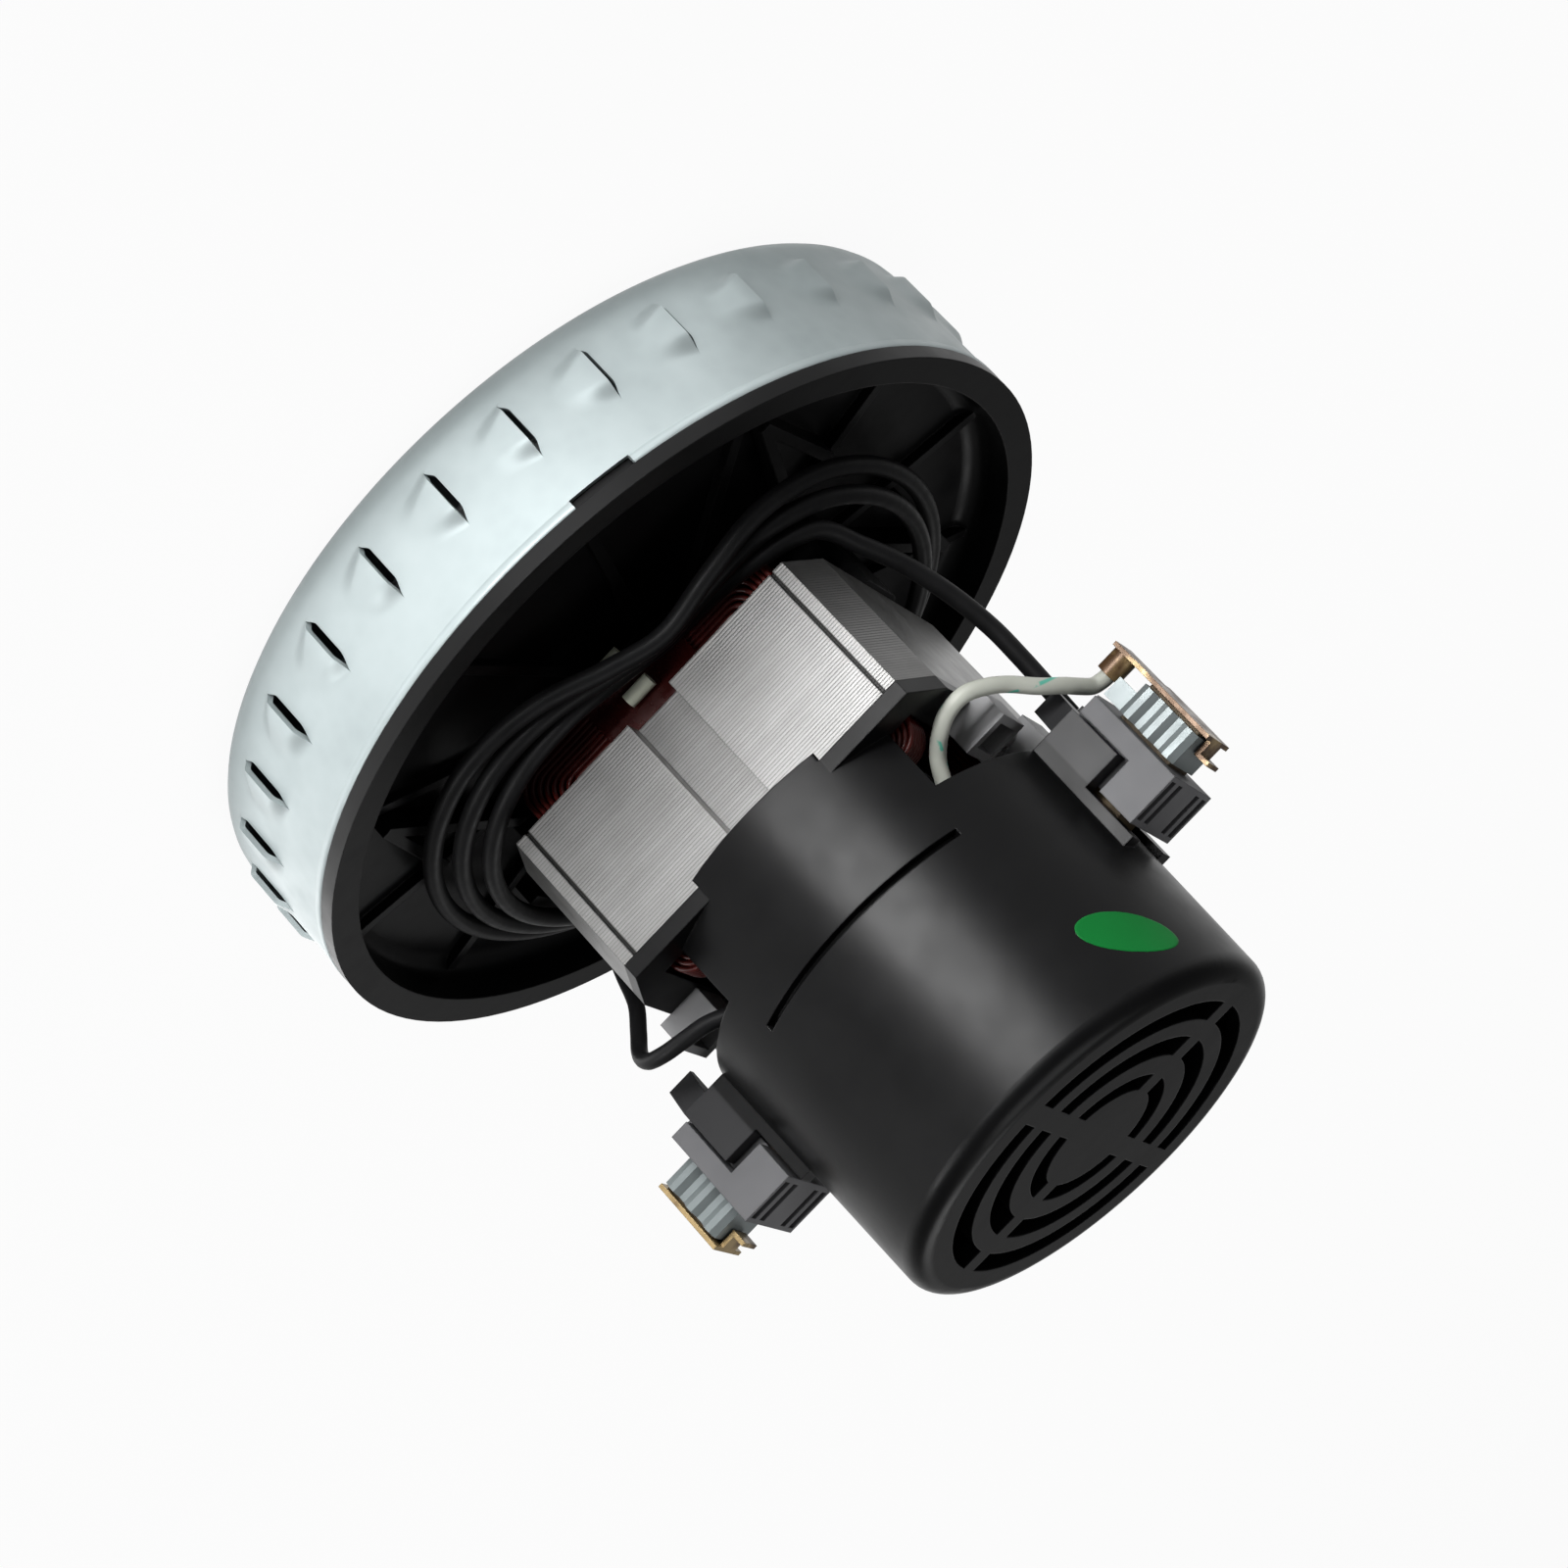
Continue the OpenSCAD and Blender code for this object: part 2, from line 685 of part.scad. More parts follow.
// A rectangular brass tube along X
module brush_tube() {
    difference() {
        block([tube_start, -tube_t / 2, brush_z - tube_w / 2], [tube_x, tube_t / 2, brush_z + tube_w / 2]);
        block([tube_start - 1, -tube_in_t / 2, brush_z - tube_in_w / 2],
            [tube_x + 1, tube_in_t / 2, brush_z + tube_in_w / 2]);
    }
}

module brush_tube_left() {
    color([0.72, 0.55, 0.25]) mirror([1, 0, 0]) brush_tube();
}

module brush_tube_right() {
    color([0.72, 0.55, 0.25]) brush_tube();
}

// A ridged steel clip round the tube's outer end
module brush_clip() {
    half_w = tube_w / 2 + seat_gap + clip_t;
    half_t = tube_t / 2 + seat_gap + clip_t;
    steps = 4 * ridge_n - 1;
    edge = [for (i = [0:steps])
        [-half_w + 2 * half_w * i / steps, half_t + (i % 4 == 1 || i % 4 == 2 ? ridge_h : 0)]];
    long = clip_x[1] - clip_x[0];
    translate([clip_x[0], 0, brush_z]) rotate([0, 90, 0]) linear_extrude(height = long) difference() {
        polygon(concat(edge, [for (i = [steps:-1:0]) [edge[i].x, -edge[i].y]]));
        square([tube_w + 2 * seat_gap, tube_t + 2 * seat_gap], center = true);
    }
}

// A strip of the left clip that reaches towards the terminal
module clip_strip() {
    near = tube_t / 2 + seat_gap;
    low = brush_z - tube_w / 2 - seat_gap;
    block([clip_x[0], -near - clip_t, low - 4], [clip_x[0] + 3.4, -near, low + 1]);
}

module brush_clip_left() {
    color([0.72, 0.76, 0.78]) mirror([1, 0, 0]) union() {
        brush_clip();
        clip_strip();
    }
}

module brush_clip_right() {
    color([0.72, 0.76, 0.78]) brush_clip();
}

// The brass plate that closes a tube, with a folded tab at its rear edge
module brush_cap() {
    plate = [tube_x + seat_gap, tube_x + seat_gap + cap_plate_t];
    top = brush_z + tube_w / 2 + seat_gap + clip_t + 0.4;
    low = brush_z - tube_w / 2 - 0.9;
    block([plate[0], -cap_half, low], [plate[1], cap_half, top + cap_plate_t]);
    block([plate[1] - tab_drop, -2.2, top], [plate[1], 2.2, top + cap_plate_t]);
    block([plate[1] - tab_drop, -2.2, top], [plate[1] - tab_drop + cap_plate_t, 2.2, top + foot_len]);
}

// The terminal that grips the white lead, below the left cap's plate
crimp_y = -2.4;
crimp_z = 74.2;
crimp_len = 4.4;
module crimp() {
    plate = [tube_x + seat_gap, tube_x + seat_gap + cap_plate_t];
    difference() {
        union() {
            translate([plate[1] - crimp_len, crimp_y, crimp_z]) rotate([0, 90, 0])
                cylinder(r = crimp_r, h = crimp_len);
            block([plate[0], crimp_y - crimp_r, crimp_z - crimp_r], [plate[1], -crimp_y, brush_z - tube_w / 2]);
        }
        translate([plate[1] - crimp_len - 1, crimp_y, crimp_z]) rotate([0, 90, 0])
            cylinder(r = crimp_bore, h = crimp_len + 1 - cap_plate_t);
    }
}

module brush_cap_left() {
    color([0.6, 0.45, 0.2]) mirror([1, 0, 0]) union() {
        brush_cap();
        crimp();
    }
}

module brush_cap_right() {
    color([0.6, 0.45, 0.2]) brush_cap();
}

// A pressed coil spring between a brush and its cap
spring_x = [brush_out + seat_gap, tube_x];
spring_path = [for (i = [0:8 * spring_turns])
    let (t = i / (8 * spring_turns), a = 360 * spring_turns * t)
    [spring_x[0] + spring_wire / 2 + t * (spring_x[1] - spring_x[0] - spring_wire),
        spring_r * cos(a), brush_z + spring_r * sin(a)]];

module brush_spring_left() {
    color([0.7, 0.7, 0.7]) mirror([1, 0, 0]) tube(spring_path, spring_wire / 2, 6);
}

module brush_spring_right() {
    color([0.7, 0.7, 0.7]) tube(spring_path, spring_wire / 2, 6);
}

// A carbon brush with its face worn to the commutator
module carbon_brush() {
    difference() {
        block([comm_r * 0.8, -brush_t / 2, brush_z - brush_w / 2],
            [brush_out, brush_t / 2, brush_z + brush_w / 2]);
        translate([0, 0, brush_z - brush_w]) cylinder(r = brush_in, h = 2 * brush_w);
    }
}

module carbon_brush_left() {
    color([0.12, 0.12, 0.13]) mirror([1, 0, 0]) carbon_brush();
}

module carbon_brush_right() {
    color([0.12, 0.12, 0.13]) carbon_brush();
}

// Sizes of one ball bearing from its bore, outside diameter and width
function pitch_r(bore, od) = (bore + od) / 4;
function ball_r(bore, od) = (od - bore) / 7.05;

// Half section of a bearing ring with its groove
module bearing_ring(r_low, r_high, w, bore, od) {
    rotate_extrude() difference() {
        translate([r_low, 0]) square([r_high - r_low, w]);
        translate([pitch_r(bore, od), w / 2]) circle(ball_r(bore, od) + ball_gap);
    }
}

module bearing_outer(bore, od, w) {
    bearing_ring(pitch_r(bore, od) + ball_r(bore, od) * 0.73, od / 2, w, bore, od);
}

module bearing_inner(bore, od, w) {
    bearing_ring(bore / 2 + seat_gap / 2, pitch_r(bore, od) - ball_r(bore, od) * 0.73, w, bore, od);
}

module bearing_balls(bore, od, w) {
    for (k = [0:ball_n - 1])
        rotate(k * 360 / ball_n) translate([pitch_r(bore, od), 0, w / 2]) sphere(ball_r(bore, od), $fn = 32);
}

module bearing_cage(bore, od, w) {
    half = ball_r(bore, od) * 0.35;
    difference() {
        translate([0, 0, w / 2 - ball_r(bore, od) / 2])
            ring(pitch_r(bore, od) + half, pitch_r(bore, od) - half, ball_r(bore, od) * 1.8);
        for (k = [0:ball_n - 1])
            rotate(k * 360 / ball_n) translate([pitch_r(bore, od), 0, w / 2])
                sphere(ball_r(bore, od) + ball_gap, $fn = 32);
    }
}

module front_bearing_outer() {
    color("silver") translate([0, 0, front_bearing_z]) bearing_outer(shaft_d, front_od, front_w);
}

module front_bearing_inner() {
    color("silver") translate([0, 0, front_bearing_z]) bearing_inner(shaft_d, front_od, front_w);
}

module front_bearing_balls() {
    color("gainsboro") translate([0, 0, front_bearing_z]) bearing_balls(shaft_d, front_od, front_w);
}

module front_bearing_cage() {
    color("darkgoldenrod") translate([0, 0, front_bearing_z]) bearing_cage(shaft_d, front_od, front_w);
}

module rear_bearing_outer() {
    color("silver") translate([0, 0, rear_bearing_z]) bearing_outer(shaft_rear_d, rear_od, rear_w);
}

module rear_bearing_inner() {
    color("silver") translate([0, 0, rear_bearing_z]) bearing_inner(shaft_rear_d, rear_od, rear_w);
}

module rear_bearing_balls() {
    color("gainsboro") translate([0, 0, rear_bearing_z]) bearing_balls(shaft_rear_d, rear_od, rear_w);
}

module rear_bearing_cage() {
    color("darkgoldenrod") translate([0, 0, rear_bearing_z]) bearing_cage(shaft_rear_d, rear_od, rear_w);
}

module shaft() {
    color("silver") {
        translate([0, 0, shaft_start]) cylinder(r = shaft_r, h = rear_bearing_z - 2 - shaft_start);
        translate([0, 0, rear_bearing_z - 2]) cylinder(r = shaft_rear_r, h = shaft_end - rear_bearing_z + 2);
    }
}

// One armature lamination with closed round slots
slot_r = 2.5;
slot_mid = core_r - slot_r - 1.5;
module armature_outline() {
    difference() {
        circle(core_r);
        circle(shaft_r + seat_gap);
        for (k = [0:slot_n - 1]) rotate((k + 0.5) * 360 / slot_n) {
            translate([slot_mid, 0]) circle(slot_r);
            translate([slot_mid, -0.7]) square([slot_r + 3, 1.4]);
        }
    }
}

module armature_core() {
    color([0.6, 0.6, 0.6]) translate([0, 0, stack_z]) linear_extrude(height = stack_len) armature_outline();
}

// Half section of one end of the winding, drawn from the stack outwards
module winding_section(reach) {
    bend = 3;
    translate([winding_in, -eps]) square([winding_r - winding_in - bend, reach + eps]);
    translate([winding_in, -eps]) square([winding_r - winding_in, reach - bend + eps]);
    translate([winding_r - bend, reach - bend]) circle(bend);
}

module armature_winding() {
    color([0.6, 0.28, 0.12]) {
        translate([0, 0, stack_end + seat_gap]) rotate_extrude() winding_section(winding_rear - stack_end);
        translate([0, 0, stack_z - seat_gap]) mirror([0, 0, 1])
            rotate_extrude() winding_section(stack_z - winding_front);
        for (k = [0:slot_n - 1]) rotate((k + 0.5) * 360 / slot_n)
            translate([slot_mid, 0, stack_z - 1]) cylinder(r = slot_r - slip_gap, h = stack_len + 2);
    }
}

// Copper bars with risers, parted by thin slots
module commutator_bars() {
    color([0.75, 0.42, 0.22]) difference() {
        union() {
            translate([0, 0, comm_z]) ring(comm_r, comm_hub_r + seat_gap, comm_len);
            translate([0, 0, comm_z]) ring(riser_r, comm_hub_r + seat_gap, riser_h);
        }
        for (k = [0:bar_n - 1]) rotate((k + 0.5) * 360 / bar_n)
            block([0, -bar_gap / 2, comm_z - 1], [comm_r + 3, bar_gap / 2, comm_z + comm_len + 1]);
    }
}

module commutator_hub() {
    color([0.18, 0.1, 0.06]) translate([0, 0, comm_z - 1]) ring(comm_hub_r, shaft_r + seat_gap, comm_len + 2);
}

module impeller_back_plate() {
    color([0.8, 0.81, 0.82]) translate([0, 0, impeller_back_z]) ring(impeller_r, shaft_r + seat_gap, blade_t);
}

// Half section of the front plate: a neck at the eye, then a cone out to the rim
module front_plate_section() {
    polygon([
        [impeller_eye_r, impeller_neck_z], [impeller_eye_r + blade_t, impeller_neck_z],
        [impeller_r, impeller_front_z - blade_t], [impeller_r, impeller_front_z],
        [impeller_eye_r, impeller_neck_z + 2 * blade_t]
    ]);
}

module impeller_front_plate() {
    color([0.8, 0.81, 0.82]) rotate_extrude($fn = 96) front_plate_section();
}

// Backward curved vanes that fill the space between the two plates
module impeller_vanes() {
    color([0.75, 0.76, 0.77]) difference() {
        intersection() {
            for (k = [0:vane_n - 1]) rotate(k * 360 / vane_n)
                translate([vane_in + vane_bow * 0.56, vane_bow * 0.82, impeller_neck_z])
                    ring(vane_bow, vane_bow - blade_t, impeller_back_z - impeller_neck_z - seat_gap);
            ring(impeller_r - 1, vane_in, impeller_back_z + 1);
            vane_half_planes();
        }
        rotate_extrude($fn = 96) polygon([
            [impeller_eye_r, -1], [impeller_r + 2, -1],
            [impeller_r + 2, impeller_front_z + 2 * plate_slope + seat_gap],
            [impeller_eye_r, impeller_neck_z + 2 * blade_t + seat_gap]
        ]);
    }
}

// Keeps one side of each vane's circle
module vane_half_planes() {
    for (k = [0:vane_n - 1]) rotate(k * 360 / vane_n)
        linear_extrude(height = impeller_back_z + 1) sector(impeller_r, -14, 40);
}

module impeller_spacer() {
    color("silver") translate([0, 0, impeller_back_z + blade_t])
        ring(shaft_r + 2, shaft_r + seat_gap, front_bearing_z - impeller_back_z - blade_t);
}

module impeller_washer() {
    color("silver") translate([0, 0, impeller_back_z - washer_t]) ring(washer_r, shaft_r + seat_gap, washer_t);
}

module impeller_nut() {
    color("silver") translate([0, 0, impeller_back_z - washer_t - nut_h]) difference() {
        cylinder(r = nut_af / sqrt(3), h = nut_h, $fn = 6);
        translate([0, 0, -1]) cylinder(r = shaft_r + seat_gap, h = nut_h + 2);
    }
}

// The black lead: out of the far coil, inwards round the bowl, then up to the left brush holder.
// Its turns are drawn in towards the stack and close together on the near side.
lead_first_angle = 120;
lead_step_r = 3.6;
lead_low = 26.8;
lead_step_z = 2.3;
lead_pinch = 12.8;
lead_step_pinch = 0.6;
lead_pinch_angle = -103;
lead_pinch_spread = 29;
lead_tie_z = 34.4;
lead_tie_step = 1.1;
function lead_dip(a) =
    let (off = a - lead_pinch_angle, d = off - 360 * round(off / 360)) exp(-pow(d / lead_pinch_spread, 2));
function lead_point(t) =
    let (a = lead_first_angle - 360 * t,
        dip = lead_dip(a),
        r = lead_r - lead_step_r * t - (lead_pinch - lead_step_pinch * t) * dip,
        z = (lead_low + lead_step_z * t) * (1 - dip) + (lead_tie_z - lead_tie_step * t) * dip)
    [r * cos(a), r * sin(a), z];
lead_coil = [for (i = [1:24 * lead_turns]) lead_point(i / 24)];
lead_in = [
    [-coil_mid.x, coil_out_y + seat_gap, 31], [-coil_mid.x, 26.6, 31], [-18.4, 30.6, 29.4], [-19, 34.8, 27],
    [-18.4, 39.4, 25.8], [-15.8, 43.6, 26.2]
];
lead_tail = [
    [-35.2, -12.6, 36.8], [-37.2, -7.6, 41.6], [-38.6, -3.4, 48], [-39.2, 0, 54.8],
    [-39, 2.2, 60.6], [-38.6, 4, 66], [-38.2, 5.4, 71.2]
];
lead_last = len(lead_coil) - 1;
black_path = straight_ends(concat(
    smooth(concat(lead_in, [lead_coil[0], lead_coil[1]]), 3),
    [for (i = [2:lead_last - 1]) lead_coil[i]],
    smooth(concat([lead_coil[lead_last]], lead_tail), 3)
), 3);
echo(black_lead_gap = self_gap(black_path, lead_d, 8));

module black_lead() {
    color([0.05, 0.05, 0.05]) tube(black_path, lead_d / 2, 6);
}

// Keeps a route's points inside the cap when it is resized
function in_cap(p) = [p.x * cap_in / 30.4, p.y * cap_in / 30.4, p.z];

// The white lead: from the near coil's rear, out of the left window and into the left cap's terminal
white_route = [
    [-11.2, -coil_mid.y, coil_z[1] + seat_gap], [-11.2, -coil_mid.y, 72.6], in_cap([-12.2, -19.8, 75.8]),
    in_cap([-15.4, -18.4, 77.8]), in_cap([-18.8, -17, 76.6]), in_cap([-20.6, -16.4, 73.4]),
    [-22.8, -17.7, 70.4], [-26.2, -20, 68.7], [-29, -20.4, 67.8], [-32, -20, 67.7], [-34.6, -18, 68.4],
    [-36.8, -15.4, 69.5],
    [-cap_r - 6.6, -12, 71.6], [-holder_x + 2.3, -8.6, 72.8], [-holder_x + 0.8, -5.6, 73.7],
    [-tube_x + 6.2, -3.6, 74.1], [-tube_x + 4.8, -2.7, 74.2], [-tube_x + 3.4, crimp_y, crimp_z],
    [-tube_x + 1.8, crimp_y, crimp_z], [-tube_x + 0.1, crimp_y, crimp_z]
];
white_path = straight_ends(smooth(white_route, 3), 3);
echo(white_lead_gap = self_gap(white_path, white_d, 8));

module white_lead() {
    color([0.85, 0.87, 0.8]) tube(white_path, white_d / 2, 8);
}

// The link lead: from the far coil's front, up beside the stack and into the right window
// to the near coil's rear
link_route = [
    [coil_out_x + seat_gap, coil_mid.y, 32], [27.6, coil_mid.y, 32], [31.4, 18.4, 32.4], [34.2, 14.2, 34.4],
    [35, 9.6, 39], [35, 5, 45], [35.2, 0, 51], [35.8, -4, 57.2], [37.6, -7, 61.8], [38.9, -10, 65.6],
    [38, -13.2, 68.6], [35.1, -15.6, 70.6], [31.4, -16.8, 71.8], [27, -17, 72.8],
    in_cap([22.8, -16.8, 74.8]), in_cap([19, -17.2, 77]), in_cap([15.4, -18.4, 77.8]),
    in_cap([12.2, -19.8, 75.8]), [11.2, -coil_mid.y, 72.6], [11.2, -coil_mid.y, coil_z[1] + seat_gap]
];
link_path = straight_ends(smooth(link_route, 3), 3);
echo(link_lead_gap = self_gap(link_path, link_d, 8));

module link_lead() {
    color([0.05, 0.05, 0.05]) tube(link_path, link_d / 2, 8);
}

// Pale sleeves over the joints at the near coil's front
sleeve_spots = [[2.2, 26.8, 6.4], [0.6, 33.1, 4.6]];
module lead_sleeves() {
    sleeve_rad = 1.2;
    color([0.75, 0.78, 0.68]) for (spot = sleeve_spots)
        translate([spot[0] - spot[2] / 2, -coil_out_y - film_t - run_gap - sleeve_rad, spot[1]])
            rotate([0, 90, 0]) ring(sleeve_rad, 0.6, spot[2]);
}

fan_cover();
front_bracket();
stator_core();
field_coil_near();
field_coil_far();
slot_liners();
end_bracket();
stator_screws();
terminal_block_left();
terminal_block_right();
brush_holder_left();
brush_holder_right();
brush_tube_left();
brush_tube_right();
brush_clip_left();
brush_clip_right();
brush_cap_left();
brush_cap_right();
brush_spring_left();
brush_spring_right();
carbon_brush_left();
carbon_brush_right();
front_bearing_outer();
front_bearing_inner();
front_bearing_balls();
front_bearing_cage();
rear_bearing_outer();
rear_bearing_inner();
rear_bearing_balls();
rear_bearing_cage();
shaft();
armature_core();
armature_winding();
commutator_bars();
commutator_hub();
impeller_back_plate();
impeller_vanes();
impeller_front_plate();
impeller_spacer();
impeller_washer();
impeller_nut();
black_lead();
white_lead();
link_lead();
lead_sleeves();
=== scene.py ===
import json
import math

import bmesh
import bpy
from mathutils import Matrix, Vector
from mathutils.bvhtree import BVHTree


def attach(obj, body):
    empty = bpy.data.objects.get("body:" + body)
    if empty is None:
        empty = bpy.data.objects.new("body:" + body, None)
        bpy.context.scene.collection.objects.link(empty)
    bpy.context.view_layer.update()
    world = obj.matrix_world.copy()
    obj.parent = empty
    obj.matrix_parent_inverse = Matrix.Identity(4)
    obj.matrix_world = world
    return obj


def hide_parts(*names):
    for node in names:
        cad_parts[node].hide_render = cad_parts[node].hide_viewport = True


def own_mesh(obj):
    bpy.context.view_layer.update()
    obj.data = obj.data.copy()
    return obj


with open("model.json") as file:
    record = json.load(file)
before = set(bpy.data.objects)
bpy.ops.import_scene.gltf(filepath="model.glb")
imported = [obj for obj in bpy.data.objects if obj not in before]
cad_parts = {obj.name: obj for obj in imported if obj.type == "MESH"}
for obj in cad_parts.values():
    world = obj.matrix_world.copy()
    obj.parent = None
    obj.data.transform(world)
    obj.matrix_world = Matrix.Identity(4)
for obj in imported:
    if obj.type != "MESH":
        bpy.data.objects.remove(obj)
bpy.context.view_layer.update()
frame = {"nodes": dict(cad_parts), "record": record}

NODES = frame["nodes"]
MM = 0.001

# Camera: the photograph's viewpoint in the row frame, in millimetres and degrees
CAMERA_AT = (-98.7, -623.2, 322.9)
CAMERA_AIM = (-1.51, 0.24, 48.26)
CAMERA_ROLL = 137.1
CAMERA_LENS = 108.5

# Fan cover, in millimetres and degrees
COVER_R = 65.0
COVER_H = 26.0
COVER_BEND = 4.0
SHEET_T = 0.8
EYE_R = 19.0
COLLAR_H = 3.0
RIM_BAND = 1.4
RIM_BEAD = 0.25
NOTCH_W = 10.2
NOTCH_DEPTH = 1.7
NOTCH_ANGLES = (-109.0, 71.0)
LOUVRE_N = 30
LOUVRE_ANGLE = -93.8
LOUVRE_Z = 11.3
LOUVRE_LEN = 10.8
LOUVRE_RUN = 7.4
LOUVRE_TAPER = 0.72
LOUVRE_LIFT = 1.3
LOUVRE_GAP = 1.0
LOUVRE_ROWS = 34
LOUVRE_MARGIN = 0.6
FLANK_RIM = (3.6, 0.4)
FLANK_INLET = (1.9, 1.4)

# Places where a finish changes on one node, in millimetres from the shaft along X
# GROOVE_X is where the shade in the stack's side grooves is painted as a dark line.
GROOVE_X = 25.3
SEAT_X = 34.2

# Leads, in millimetres and degrees
LEAD_D = 2.9
WHITE_D = 2.5
LINK_D = 2.5
LEAD_R = 48.5
LEAD_TURNS = 2.75
LEAD_FIRST_ANGLE = 120.0
LEAD_STEP_R = 3.6
LEAD_LOW = 26.8
LEAD_STEP_Z = 2.3
LEAD_PINCH = 12.8
LEAD_STEP_PINCH = 0.6
LEAD_PINCH_ANGLE = -103.0
LEAD_PINCH_SPREAD = 29.0
LEAD_TIE_Z = 34.4
LEAD_TIE_STEP = 1.1
LEAD_STEPS = 24
LEAD_SIDES = 16
ROUTE_STEPS = 6
LEAD_IN = [
    (-18, 23.37, 31), (-18, 26.6, 31), (-18.4, 30.6, 29.4), (-19, 34.8, 27), (-18.4, 39.4, 25.8),
    (-15.8, 43.6, 26.2)]
LEAD_TAIL = [
    (-35.2, -12.6, 36.8), (-37.2, -7.6, 41.6), (-38.6, -3.4, 48), (-39.2, 0, 54.8), (-39, 2.2, 60.6),
    (-38.6, 4, 66), (-38.2, 5.4, 71.2)]
WHITE_ROUTE = [
    (-11.2, -20.61, 68.85), (-11.2, -20.61, 72.6), (-12.2, -19.8, 75.8), (-15.4, -18.4, 77.8),
    (-18.8, -17, 76.6), (-20.6, -16.4, 73.4), (-22.8, -17.7, 70.4), (-26.2, -20, 68.7), (-29, -20.4, 67.8),
    (-32, -20, 67.7), (-34.6, -18, 68.4), (-36.8, -15.4, 69.5), (-39.3, -12, 71.6), (-41.5, -8.6, 72.8),
    (-43, -5.6, 73.7), (-44, -3.6, 74.1), (-45.4, -2.7, 74.2), (-46.8, -2.4, 74.2), (-48.4, -2.4, 74.2),
    (-50.1, -2.4, 74.2)]
LINK_ROUTE = [
    (24.45, 20.61, 32), (27.6, 20.61, 32), (31.4, 18.4, 32.4), (34.2, 14.2, 34.4), (35, 9.6, 39),
    (35, 5, 45), (35.2, 0, 51), (35.8, -4, 57.2), (37.6, -7, 61.8), (38.9, -10, 65.6), (38, -13.2, 68.6),
    (35.1, -15.6, 70.6), (31.4, -16.8, 71.8), (27, -17, 72.8), (22.8, -16.8, 74.8), (19, -17.2, 77),
    (15.4, -18.4, 77.8), (12.2, -19.8, 75.8), (11.2, -20.61, 72.6), (11.2, -20.61, 68.85)]

# Field coils, in millimetres: reach, depth and height of a bundle, the stack inside it, and its wire
COIL_X = (13.6, 24.4)
COIL_Y = (17.9, 23.32)
COIL_Z = (28.0, 68.8)
STACK_Z = (38.4, 63.4)
COIL_WIRE = 0.86
COIL_ACROSS = 12
COIL_DEEP = 6

# Brush springs, in millimetres
BRUSH_Z = 85.6
SPRING_X = (35.85, 50.2)
SPRING_R = 2.2
SPRING_WIRE = 0.7
SPRING_TURNS = 9
SPRING_STEPS = 24

# Sticker: angle from -Y towards +X and height of its middle, in degrees and millimetres
STICKER_ANGLE = -51.3
STICKER_Z = 109.5
STICKER_SIZE = (15.4, 7.0)
STICKER_AXIS = (-0.857, 0.513)
STICKER_SIDES = 72
STICKER_LIFT = 0.06
STICKER_RINGS = (0.25, 0.5, 0.75, 0.94, 0.99, 1.0)
CAP_R = 32.7

# Studio, in metres, watts and degrees: cards lie in an arc round the front of the cover
FLOOR_HALF = 6.0
FLOOR_WHITE = 0.94
CARD_N = 6
CARD_FIRST = -38
CARD_STEP = 27
CARD_R = 0.1
CARD_SIZE = (0.05, 0.056)
CARD_POWER = 0.014
CARD_POWER_FIRST = 0.012
PANEL_Z = 0.001


def metres(point):
    return Vector(point) * MM


# Camera
def make_camera():
    at = metres(CAMERA_AT)
    ahead = (metres(CAMERA_AIM) - at).normalized()
    right = ahead.cross(Vector((0, 0, 1))).normalized()
    up = right.cross(ahead)
    roll = math.radians(CAMERA_ROLL)
    across = math.cos(roll) * right + math.sin(roll) * up
    above = math.cos(roll) * up - math.sin(roll) * right
    data = bpy.data.cameras.new("camera")
    data.lens = CAMERA_LENS
    data.sensor_width = 36.0
    data.clip_start = 0.01
    data.clip_end = 50.0
    camera = bpy.data.objects.new("camera", data)
    bpy.context.scene.collection.objects.link(camera)
    matrix = Matrix((across, above, -ahead)).transposed().to_4x4()
    matrix.translation = at
    camera.matrix_world = matrix
    bpy.context.scene.camera = camera


# Meshes
def new_object(name, mesh, material):
    piece = bpy.data.objects.new(name, mesh)
    bpy.context.scene.collection.objects.link(piece)
    mesh.materials.append(material)
    return piece


def smooth_faces(mesh):
    mesh.polygons.foreach_set("use_smooth", [True] * len(mesh.polygons))


def catmull(points, steps):
    """A smooth curve through the points."""
    points = [Vector(p) for p in points]
    last = len(points) - 1
    path = []
    for i in range(last):
        before, start, end, after = (points[min(max(i + k, 0), last)] for k in (-1, 0, 1, 2))
        for s in range(steps):
            t = s / steps
            path.append(0.5 * (2 * start + (end - before) * t
                + (2 * before - 5 * start + 4 * end - after) * t * t
                + (3 * start - before - 3 * end + after) * t ** 3))
    path.append(points[-1])
    return path


def straight_ends(path, steps):
    """Makes the first and last spans of a curve straight, where a lead is held."""
    last = len(path) - 1
    return [p for i, p in enumerate(path) if i in (0, last) or steps <= i <= last - steps]


